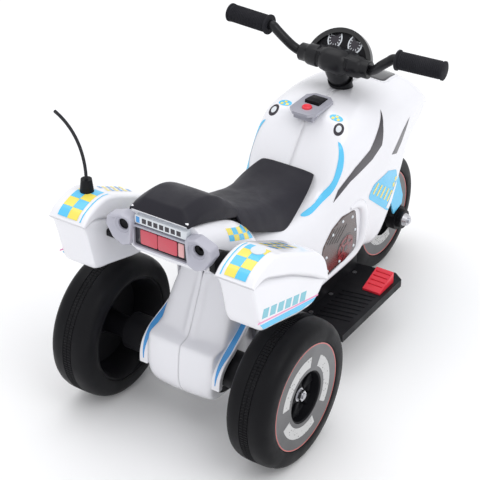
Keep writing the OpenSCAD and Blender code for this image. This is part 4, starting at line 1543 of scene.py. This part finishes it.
@dataclass
class Racks:
    """The black arms that carry the panniers."""

    bracket: tuple[Pair, ...] = ((-70, 340), (-52, 322), (6, 320), (6, 332), (-44, 364), (-70, 370))

    def build(self) -> None:
        """Makes the arms on both sides."""
        mesh = slab(Facing.SIDE, rounded(self.bracket, 6), 72.5, 83, 2)
        for low, high, foot, top in ((-64, -42, 331, 343), (-16, 6, 318.5, 324)):
            arm = rounded([(low, foot), (high, foot), (high, top), (low, top)], 3)
            mesh.plus(slab(Facing.SIDE, arm, 80, 117.5, 1.0))
        mesh.plus(mesh.mirrored())
        Make(TRIM_BLACK, replaces=("racks",), slot="black_plastic").piece("pannier_arms", mesh)


@dataclass
class Pannier:
    """One pannier: an open box, its arched lid, and the prints on both."""

    inner: float = 118.0
    outer: float = 178.0
    arch: tuple[Pair, ...] = (
        (-119, 376), (-107, 387), (-85, 395), (-62, 397), (-40, 391), (-15, 379),
        (15, 364), (46, 348), (66, 335),
        (80, 318), (88, 297), (93, 279),
    )
    rim: tuple[Pair, ...] = (
        (-117, 371), (-108, 373), (-92, 374), (-74, 368.5), (-50, 357), (-22, 344.5), (8, 328), (36, 311),
        (54, 299), (68, 289.5), (78, 284), (84, 281),
    )
    keel: tuple[Pair, ...] = (
        (-115, 370), (-108, 345), (-100, 315), (-94, 292), (-84, 282), (-50, 273),
        (-18, 264), (13, 256), (47, 252),
        (66, 259), (83, 273),
    )
    mouth: tuple[Pair, ...] = (
        (-115, 371.5), (-105, 373), (-95, 374), (-86, 373), (-74, 369.5), (-50, 359), (-22, 346.5), (8, 330),
        (40, 309), (62, 295), (80, 284),
    )
    wall: float = 2.6

    @staticmethod
    def trough(
        ridge: Sequence[Pair], edge: Sequence[Pair], low: float, high: float, radius: float, crown: float
    ) -> Mesh:
        """Runs a trough section along a ridge line, down to an edge line, with closed ends.

        Args:
            ridge: Top of the section at each station, as x and z.
            edge: Where its sides end at each station.
            low: Inner side, as y.
            high: Outer side, as y.
            radius: Radius between the top and the sides.
            crown: How much the middle of the top stands up.

        Returns:
            The open skin, on the left side.
        """
        tops, ends = smooth_outline(ridge, 5, False), smooth_outline(edge, 5, False)
        rows = []
        for k, (t, s) in enumerate(zip(tops, ends)):
            top, end = Vector(t), Vector(s)
            down = end - top
            depth = down.length
            down = down.normalized() if depth > 0.01 else Vector((0, -1))
            r = min(radius, depth * 0.6)
            side = [(low, depth * (1 - 0.25 * i) + r * 0.25 * i) for i in range(4)]
            arc = []
            for i in range(7):
                w = math.pi / 2 * i / 6
                arc.append((low + r * (1 - math.cos(w)), r * (1 - math.sin(w))))
            half = side + arc
            middle = (low + high) / 2
            rise = crown * min(1.0, depth / 20)
            shares = (0.25, 0.375, 0.5, 0.625, 0.75)
            flat = [(low + (high - low) * f, -rise * math.sin(math.pi * f)) for f in shares]
            other = [(2 * middle - y, d) for y, d in reversed(half)]
            rows.append([at(top.x + down.x * d, y, top.y + down.y * d) for y, d in half + flat + other])
        first, last = (
            [at(spot[0], p.y / MM, spot[1]) for p in row]
            for row, spot in ((rows[0], ends[0]), (rows[-1], ends[-1]))
        )
        return loft([first, *rows, last])

    def lid_point(self, s: float, y: float, lift: float) -> Vector:
        """Finds a place on the lid's top.

        Args:
            s: Distance from its rear end along the arch, in millimetres.
            y: Distance from the trike's middle.
            lift: Height above the lid.

        Returns:
            The point, on the left side.
        """
        line = [Vector(p) for p in smooth_outline(self.arch, 5, False)]
        for a, b in zip(line, line[1:]):
            step = (b - a).length
            if s <= step or b is line[-1]:
                p = a.lerp(b, s / step)
                t = (b - a).normalized()
                f = (y - self.inner + 3) / (self.outer - self.inner + 6)
                up = lift + math.sin(math.pi * max(0.0, min(1.0, f)))
                return at(p.x - t.y * up, y, p.y + t.x * up)
            s -= step
        return at(line[-1].x, y, line[-1].y)

    def lid_patch(self, corners: Sequence[Pair], lift: float = 0.35, parts: int = 6) -> Mesh:
        """Lays a four-cornered print on the lid.

        Args:
            corners: Corners as distance along the arch and y.
            lift: Height above the lid.
            parts: Steps each way.

        Returns:
            The print, on the left side.
        """
        a, b, c, d = (Vector(p) for p in corners)
        rows = []
        for i in range(parts + 1):
            u, v = a.lerp(b, i / parts), d.lerp(c, i / parts)
            rows.append([self.lid_point(*u.lerp(v, j / parts), lift) for j in range(parts + 1)])
        return loft(rows)

    def lid_prints(self) -> dict[Plastic, Mesh]:
        """Builds the checks, the thin line and the slanted blocks of one lid.

        Returns:
            One mesh for each finish.
        """
        prints = {LIGHT_BLUE: Mesh([], []), YELLOW: Mesh([], []), FENDER_BLUE: Mesh([], [])}
        for i in range(4):
            for j in range(2):
                s, y = 5 + 18 * i, 130 + 18 * j
                patch = self.lid_patch([(s, y), (s + 17.8, y), (s + 17.8, y + 17.8), (s, y + 17.8)])
                prints[LIGHT_BLUE if (i + j) % 2 else YELLOW].plus(patch)
        prints[LIGHT_BLUE].plus(self.lid_patch([(4, 123), (78, 123), (78, 125), (4, 125)]))
        for k in range(6):
            s = 92 + 11.5 * k
            for j in range(2):
                y = 134 + 15 * j
                patch = self.lid_patch([(s, y), (s + 7.5, y), (s + 14, y + 12), (s + 6.5, y + 12)])
                prints[(YELLOW, FENDER_BLUE)[(k + j) % 2]].plus(patch)
        return prints

    def side_prints(self) -> dict[Plastic, Mesh]:
        """Builds the line, the stripe and the slanted bars on one outer side.

        Returns:
            One mesh for each finish.
        """
        far = self.outer + 0.3
        near = self.outer - 0.2
        prints = {PINK: Mesh([], []), LIGHT_BLUE: Mesh([], []), TEAL: Mesh([], [])}
        line = bar((-102, 305), (64, 262.5), 2.4)
        prints[PINK].plus(slab(Facing.SIDE, line, near, far))
        stripe = [(-96, 299.5), (-88, 288.5), (-50, 279), (13, 263), (50, 258.5), (58, 262)]
        prints[LIGHT_BLUE].plus(slab(Facing.SIDE, stripe, near, far))
        for k in range(6):
            x = -92 + 20.5 * k
            fall = 309.5 - 0.29 * (x + 97)
            block = [(x, fall), (x + 15, fall - 4.2), (x + 20, fall + 10), (x + 5, fall + 14.2)]
            prints[TEAL].plus(slab(Facing.SIDE, block, near, far))
        return prints

    def knuckle(self) -> Mesh:
        """Builds the lid's hinge knuckle round the pin.

        Returns:
            The lid's knuckle, on the left side.
        """
        low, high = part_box("lid_pins")
        x, z = ahead_of_axle("lid_pins").x, (low.z + high.z) / 2 / MM
        spindle = Spindle(at(x, (self.inner + self.outer) / 2, z), Vector((0, 1, 0)))
        return spindle.turned([(2.1, -15), (4.2, -15), (5, -14.2), (5, 14.2), (4.2, 15), (2.1, 15)], 32)

    def build(self) -> None:
        """Makes both panniers, their lids and their prints."""
        box = self.trough(self.keel, self.mouth, self.inner, self.outer, 8.0, 0.0)
        lid = self.trough(self.arch, self.rim, self.inner - 3, self.outer + 3, 6.0, 1.0)
        tops, sides, knuckle = self.lid_prints(), self.side_prints(), self.knuckle()
        x, z = ahead_of_axle("lid_pins").x, ahead_of_axle("lid_pins").z
        ears = Mesh([], [])
        for y in (self.inner + 10, self.outer - 10):
            spindle = Spindle(at(x, y, z), Vector((0, 1, 0)))
            ears.plus(spindle.turned([(2.1, -4), (4.2, -4), (5, -3.2), (5, 3.2), (4.2, 4), (2.1, 4)], 32))
            strap = [(x - 18, z - 8), (x - 1, z - 5), (x + 1, z + 1), (x - 14, z + 3)]
            ears.plus(slab(Facing.SIDE, strap, y - 4, y + 4, 0.5))
        for word, turn in (("left", False), ("right", True)):
            wall = self.wall * MM
            boxes = (f"pannier_{word}",)
            make = Make(WHITE, replaces=boxes, slot="white_shell", solid=wall, even=False, angle=50)
            make.piece(f"pannier_box_{word}", box.on_side(turn))
            Make(WHITE, slot="white_shell", angle=35).piece(f"pannier_ears_{word}", ears.on_side(turn))
            rides = f"lid_{word}_body"
            make = Make(WHITE, rides, (f"lid_{word}",), "white_shell", solid=wall, even=False, angle=50)
            make.piece(f"pannier_lid_{word}", lid.on_side(turn))
            make = Make(WHITE, rides, (), "white_shell", angle=35)
            make.piece(f"pannier_knuckle_{word}", knuckle.on_side(turn))
            for finish, mesh in tops.items():
                printed(finish, f"lid_{finish.name}_{word}", mesh.on_side(turn), body=rides)
            for finish, mesh in sides.items():
                printed(finish, f"box_{finish.name}_{word}", mesh.on_side(turn))


@dataclass
class Bars:
    """The handlebar tube, its clamp and its ribbed grips."""

    tube_r: float = 8.0
    grip_r: float = 14.5

    def line(self) -> list[Vector]:
        """Gives the middle line of the left half of the tube.

        Returns:
            Points from the clamp to the end.
        """
        low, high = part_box("handlebar")
        top = high.z / MM - self.tube_r
        reach = high.y / MM
        xb = ahead_of_axle("clamp_housing").x - 7
        ends = [(xb, 50, 463), (xb, 66, 463), (xb - 4, 78, 470), (xb - 9, 90, 482), (xb - 11, 104, 494)]
        ends += [(xb - 11, 113, top), (xb - 9, 130, top), (xb - 5, reach, top)]
        return [at(*p) for p in ends]

    def clamp(self) -> None:
        """Makes the clamp that holds the tube, with its collars and the neck down to the bush."""
        middle = at(ahead_of_axle("clamp_housing").x - 7, 0, 463)
        spindle = Spindle(middle, Vector((0, 1, 0)))
        half = [
            (8.3, 65), (13.6, 65), (14.8, 63.8), (15.0, 52), (16.2, 50), (18.0, 46), (18.4, 30), (15.6, 27.6),
            (15.6, 24.4), (19.5, 21), (21.5, 12),
        ]
        profile = half + [(21.8, 0)] + [(r, -t) for r, t in reversed(half)]
        mesh = spindle.turned(profile, 64)
        foot = at(*ahead_of_axle("steering_bush"))
        neck = [middle.lerp(foot, f) for f in (0.0, 0.25, 0.42, 0.5, 0.7, 0.74, 0.95)]
        mesh.plus(swept(neck, (21, 20.5, 19, 16.5, 16, 18, 18), 40))
        cover = rounded([(-46, -12), (46, -12), (38, 16), (14, 24), (-14, 24), (-38, 16)], 8)
        rows = []
        for k, lift in ((1.0, -2.0), (1.0, 12.0), (0.94, 15.0), (0.82, 16.0)):
            rows.append([middle + Vector((b * k * MM, a * k * MM, lift * MM)) for a, b in cover])
        mesh.plus(capped(loft(rows, True), len(cover)))
        make = Make(BAR_BLACK, "steering", ("clamp_housing",), "black_plastic", angle=38)
        make.piece("bar_clamp", mesh)

    def build(self) -> None:
        """Makes the clamp, the tube and both grips."""
        self.clamp()
        line = smooth_path(self.line(), 6)
        tube = swept(line, [self.tube_r] * len(line), 28)
        tube.plus(tube.mirrored())
        Make(BAR_BLACK, "steering", ("handlebar",), "black_plastic").piece("bar_tube", tube)
        low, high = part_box("grips")
        end = self.line()[-1]
        start = self.line()[-3]
        along = (end - start).normalized()
        far = Vector((end.x, high.y, end.z))
        length = 82.0
        spindle = Spindle(far - along * (length * MM), along)
        r = self.grip_r
        profile = [(self.tube_r, 0), (r + 1.6, 0), (r + 2.4, 0.8), (r + 2.4, 3.2)]
        profile += [(r + 1.6, 4), (r - 0.6, 4.6)]
        for k in range(22):
            t = 7 + 3.1 * k
            profile += [(r - 0.5, t), (r + 0.35, t + 0.5), (r + 0.35, t + 1.6), (r - 0.5, t + 2.1)]
        profile += [(r - 0.5, length - 4.6), (r + 1.0, length - 4), (r + 1.2, length - 1.2)]
        profile += [(r - 1.5, length), (0.01, length)]
        grip = spindle.turned(profile, 72, False)
        grip.plus(grip.mirrored())
        Make(GRIP_BLACK, "steering", ("grips",), "grip_rubber", angle=35).piece("grip_sleeves", grip)


@dataclass
class PowerButton:
    """The domed red button in the switch plate."""

    skirt: float = 9.5
    dome: float = 1.4

    def build(self) -> None:
        """Makes the button, short enough to stay clear of the shell when pressed."""
        low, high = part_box("power_button")
        r = (high.x - low.x) / 2 / MM
        spot = Vector(((low.x + high.x) / 2, (low.y + high.y) / 2, high.z))
        profile = [
            (0.01, -self.skirt), (r, -self.skirt), (r, -self.dome), (r - 0.5, -0.7), (r - 1.3, -0.2),
            (r - 2.2, 0.0), (r - 3.4, -0.5), (0.01, -0.8),
        ]
        mesh = Spindle(spot, Vector((0, 0, 1))).turned(profile, 48, False)
        Make(RED, "button_body", ("power_button",), "red_plastic").piece("power_button_cap", mesh)


def dial_prints(tree: BVHTree) -> None:
    """Lays two pale dials with ticks on the dial face.

    Args:
        tree: Surface of the dial face.
    """
    middle = ahead_of_axle("dial_face")
    pale, dark = Mesh([], []), Mesh([], [])
    for side in (1, -1):
        y = side * 19
        low = Sticker(Facing.TOP, 1, grid=4.0, lift=0.0003, start=900.0)
        high = Sticker(Facing.TOP, 1, grid=2.5, lift=0.0006, start=900.0)
        pale.plus(low.film(tree, circle(middle.x, y, 9, 40, 1.45)))
        dark.plus(high.film(tree, circle(middle.x, y, 7.4, 40, 1.45)))
        for k in range(9):
            w = math.radians(-30 + 30 * k)
            start = (middle.x + 4.6 * math.sin(w) * -1, y + 7.4 * math.cos(w))
            end = (middle.x + 6.8 * math.sin(w) * -1, y + 10.2 * math.cos(w))
            tick = Sticker(Facing.TOP, 1, grid=2.0, lift=0.0009, start=900.0)
            pale.plus(tick.film(tree, bar(start, end, 0.8)))
    Make(PALE, "steering", (), "dial_print", flat=True).piece("dial_rings", pale)
    Make(SWEEP_BLACK, "steering", (), "dial_print", flat=True).piece("dial_grounds", dark)



# --------------------------------------------------------------------------- wheels


@dataclass
class Wheel:
    """A moulded wheel: tyre with a ribbed band, dished hub and a printed trim disc."""

    name: str
    body: str
    nodes: tuple[str, str, str]
    radius: float
    width: float
    face: float
    middle: Vector
    side: int = 1
    both_faces: bool = False
    ribs: int = 150

    def spindle(self, side: int) -> Spindle:
        """Gives the wheel's axis, pointing out of one face."""
        return Spindle(self.middle, Vector((0, side, 0)))

    def tread(self) -> Mesh:
        """Builds the tyre with its rib band.

        Returns:
            The tyre.
        """
        r, h, f = self.radius, self.width / 2, self.face
        outer = [
            (f, h - 3), (f + 1, h - 0.8), (f + 3.5, h), (f + 8, h - 0.2), (r - 15, h - 1.0), (r - 9, h - 3.4),
            (r - 5, h - 7), (r - 2.4, h - 11.5), (r - 0.9, h - 17), (r - 0.25, h - 22),
        ]
        band = [(r - 0.1, 8.2), (r - 1.5, 7.2), (r - 1.5, 6.8), (r, 6.4), (r, 0.7), (r - 1.4, 0.4)]
        left = [(a, -t) for a, t in reversed(outer)]
        back = [(a, -t) for a, t in reversed(band)]
        inner = [(f - 2, 4 - h), (f - 5, 8 - h), (f - 8, 16 - h)] if not self.both_faces else [(f, 3 - h)]
        last = (f, h - 3.2) if self.both_faces else (f - 8, h - 8)
        profile = outer + band + back + left + inner + [last]
        steps = self.ribs * 2
        spindle = self.spindle(self.side)
        mesh = spindle.turned(profile, steps)
        n = steps
        ribbed = {i for i, (a, t) in enumerate(profile) if a == r and abs(t) < 6.6}
        a, b, _ = spindle.frame()
        for row in ribbed:
            for j in range(n):
                if j % 2:
                    p = mesh.points[row * n + j]
                    away = (p - spindle.centre) - spindle.axis * (p - spindle.centre).dot(spindle.axis)
                    p -= away.normalized() * (1.3 * MM)
        return mesh

    def dish(self) -> Mesh:
        """Builds the hub: rim, outer web with its recess, boss and, inside, the deep dish.

        Returns:
            The hub.
        """
        f, h = self.face - 0.3, self.width / 2
        if self.both_faces:
            profile = [
                (5.1, -h - 9), (15, -h - 9), (17, -14), (26, -11), (41, -11), (43.5, 3 - h), (f, 3 - h),
                (f, h - 3), (43.5, h - 3), (41, 11), (26, 11), (17, 14), (15, h + 9), (5.1, h + 9),
            ]
        else:
            profile = [
                (5.1, 22), (13.5, 22), (15, 20.5), (16, 19), (36, 18), (39, 20), (40.5, h - 4), (42, h - 3),
                (f, h - 3), (f, 3 - h), (f - 3, 2 - h), (f - 6, 6 - h), (f - 14, h - 26), (46, h - 22),
                (24, h - 24), (19, h - 30), (17, -h), (15, -h - 2), (5.1, -h - 2),
            ]
        return self.spindle(self.side).turned(profile, 144)

    def scallops(self, side: int) -> Mesh:
        """Builds the ring of pockets in the centre recess.

        Args:
            side: The face it is on.

        Returns:
            The raised webs between the pockets.
        """
        a, b, c = self.spindle(side).frame()
        floor = 18.0 if not self.both_faces else 11.0
        mesh = Mesh([], [])
        for i in range(6):
            w = math.pi / 3 * i + 0.3
            d, e = a * math.cos(w) + b * math.sin(w), b * math.cos(w) - a * math.sin(w)
            outline = [(14, -3.2), (24, -5.5), (38.5, -11), (38.5, 11), (24, 5.5), (14, 3.2)]
            rows = []
            for t, k in ((floor - 1, 1.0), (floor + 4, 1.0), (floor + 5.5, 0.82)):
                rows.append([self.middle + (d * u + e * v * k) * MM + c * (t * MM) for u, v in outline])
            mesh.plus(capped(loft(rows, True), len(outline)))
        return mesh

    def build(self) -> None:
        """Makes the wheel's pieces."""
        tyre, hub, trim = self.nodes
        Make(TYRE_BLACK, self.body, (tyre,), "wheel_tyre", angle=35).piece(f"{self.name}_tread", self.tread())
        Make(HUB_BLACK, self.body, (hub,), "wheel_hub", angle=32).piece(f"{self.name}_centre", self.dish())
        sides = (1, -1) if self.both_faces else (self.side,)
        h = self.width / 2
        pockets, disc, ring, brake = (Mesh([], []) for _ in range(4))
        for side in sides:
            spindle = self.spindle(side)
            pockets.plus(self.scallops(side))
            f = self.face
            plate = [(43, h - 2.9), (f - 0.6, h - 2.9), (f - 0.6, h - 2.0), (43, h - 2.0)]
            disc.plus(spindle.turned(plate, 144))
            line = [(f - 2.6, h - 1.98), (f - 1.0, h - 1.98), (f - 1.0, h - 1.85), (f - 2.6, h - 1.85)]
            ring.plus(spindle.turned(line, 144))
            for start in (20, 142, 258):
                brake.plus(
                    spindle.turned(
                        [(f - 38, h - 1.98), (f - 20, h - 1.98), (f - 20, h - 1.85), (f - 38, h - 1.85)],
                        40, True, 92, start,
                    )
                )
        Make(HUB_BLACK, self.body, (), "wheel_hub", bevel=0.8 * MM).piece(f"{self.name}_webs", pockets)
        Make(DISC_GREY, self.body, (trim,), "wheel_print", flat=True).piece(f"{self.name}_disc", disc)
        Make(LINE_RED, self.body, (), "wheel_print", flat=True).piece(f"{self.name}_line", ring)
        Make(BRAKE_PRINT, self.body, (), "wheel_print", flat=True).piece(f"{self.name}_brake_print", brake)


DISC_GREY = Plastic("disc_grey", (0.085, 0.085, 0.09), Sheen.SOFT_GLOSS, 0.35, 0.000006, 900.0, 0.0, 0.3)
LINE_RED = Plastic("line_red", (0.62, 0.14, 0.13), Sheen.GLOSS, 0.08, 0.0, 900.0, 0.0, 0.2)


@dataclass(frozen=True)
class Perforated:
    """A pale print with dark holes scattered over it."""

    name: str
    colour: Triple
    hole: Triple
    pitch: float

    def material(self) -> bpy.types.Material:
        """Builds the material once.

        Returns:
            The material.
        """
        found = bpy.data.materials.get(self.name)
        if found:
            return found
        shader = Shader(self.name)
        cells = shader.add("ShaderNodeTexVoronoi")
        cells.inputs["Scale"].default_value = 1.0 / self.pitch
        cells.inputs["Randomness"].default_value = 0.35
        shader.join(shader.place, cells.inputs["Vector"])
        near = shader.add("ShaderNodeMapRange")
        near.inputs["From Min"].default_value = 0.24
        near.inputs["From Max"].default_value = 0.32
        shader.join(cells.outputs["Distance"], near.inputs["Value"])
        shader.join(
            shader.mixed(near.outputs["Result"], self.hole, self.colour), shader.surface.inputs["Base Color"]
        )
        shader.surface.inputs["Roughness"].default_value = 0.35
        return shader.material


BRAKE_PRINT = Perforated("brake_print", (0.56, 0.56, 0.56), (0.10, 0.10, 0.10), 0.0052)


def wheels() -> list[Wheel]:
    """Lists the trike's three wheels, placed by the CAD nodes.

    Returns:
        The wheels.
    """
    made = []
    for name, side in (("left", 1), ("right", -1)):
        low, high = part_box(f"rear_tyre_{name}")
        middle = (low + high) / 2
        made.append(
            Wheel(
                f"rear_wheel_{name}", f"rear_wheel_{name}",
                (f"rear_tyre_{name}", f"rear_hub_{name}", f"rear_trim_{name}"),
                (high.z - low.z) / 2 / MM, (high.y - low.y) / MM, 88.0, middle, side,
            )
        )
    low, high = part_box("front_tyre")
    made.append(
        Wheel(
            "front_wheel", "front_wheel", ("front_tyre", "front_hub", "front_trims"),
            (high.z - low.z) / 2 / MM, (high.y - low.y) / MM, 80.0, (low + high) / 2, 1, True, 140,
        )
    )
    return made


# --------------------------------------------------------------------------- stage


@dataclass
class Studio:
    """Pale floor, soft lights and the camera."""

    eye: Triple = (-1766.0, -1241.0, 1686.0)
    heading: float = 33.31
    fall: float = 32.13
    lens: float = 127.65

    def camera(self) -> None:
        """Places the camera behind and to the right of the trike, looking down at it."""
        data = bpy.data.cameras.new("camera")
        data.lens = self.lens
        data.sensor_width = 36.0
        camera = bpy.data.objects.new("camera", data)
        bpy.context.scene.collection.objects.link(camera)
        camera.location = at(*self.eye)
        h, p = math.radians(self.heading), math.radians(self.fall)
        look = Vector((math.cos(h) * math.cos(p), math.sin(h) * math.cos(p), -math.sin(p)))
        camera.rotation_mode = "QUATERNION"
        camera.rotation_quaternion = look.to_track_quat("-Z", "Y")
        bpy.context.scene.camera = camera

    def lamp(self, name: str, place: Triple, size: float, power: float, aim: Triple = (300, 0, 200)) -> None:
        """Hangs a soft light.

        Args:
            name: Its name.
            place: Where, in millimetres from the rear axle.
            size: Its side in metres.
            power: Watts.
            aim: What it points at.
        """
        data = bpy.data.lights.new(name, "AREA")
        data.shape = "SQUARE"
        data.size = size
        data.energy = power
        lamp = bpy.data.objects.new(name, data)
        bpy.context.scene.collection.objects.link(lamp)
        lamp.location = at(*place)
        lamp.rotation_mode = "QUATERNION"
        lamp.rotation_quaternion = (at(*aim) - at(*place)).to_track_quat("-Z", "Y")

    def build(self) -> None:
        """Makes the floor, the lights and the camera."""
        world = bpy.data.worlds.new("studio")
        world.use_nodes = True
        background = world.node_tree.nodes["Background"]
        background.inputs["Color"].default_value = (0.98, 0.985, 1.0, 1.0)
        background.inputs["Strength"].default_value = 0.88
        bpy.context.scene.world = world
        bpy.context.scene.view_settings.view_transform = "Standard"
        data = bpy.data.meshes.new("floor")
        s = 9.0
        data.from_pydata([(-s, -s, 0), (s, -s, 0), (s, s, 0), (-s, s, 0)], [], [(0, 1, 2, 3)])
        floor = bpy.data.objects.new("floor", data)
        shader = Shader("floor_paper")
        shader.surface.inputs["Base Color"].default_value = (0.97, 0.97, 0.975, 1.0)
        shader.surface.inputs["Roughness"].default_value = 0.9
        shader.surface.inputs["Specular IOR Level"].default_value = 0.1
        data.materials.append(shader.material)
        bpy.context.scene.collection.objects.link(floor)
        self.lamp("key", (-500, -2200, 3200), 2.2, 30.0)
        self.lamp("top", (600, 900, 3600), 2.6, 26.0)
        self.camera()


def dress_kept_nodes() -> None:
    """Gives the carried-over nodes their finishes."""
    for name, finish in KEPT_NODES.items():
        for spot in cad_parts[name].material_slots:
            spot.material = finish.material()
        LOG.info("dressed %s in %s", name, finish.name)


def main() -> None:
    """Builds the trike piece by piece, then the studio."""
    logging.basicConfig(level=logging.INFO, format="%(message)s")
    shell = MainShell().build()
    ShellDress().build(skin_tree(*shell))
    Saddle().build()
    tail = Tail()
    cover = tail.build()[0]
    tail.flanges()
    tail.side_checks(skin_tree(cover))
    TailLamps().build()
    Racks().build()
    Pannier().build()
    Bars().build()
    PowerButton().build()
    dial_prints(skin_tree(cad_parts["dial_face"]))
    for wheel in wheels():
        wheel.build()
    dress_kept_nodes()
    Studio().build()


if __name__ == "__main__":
    main()
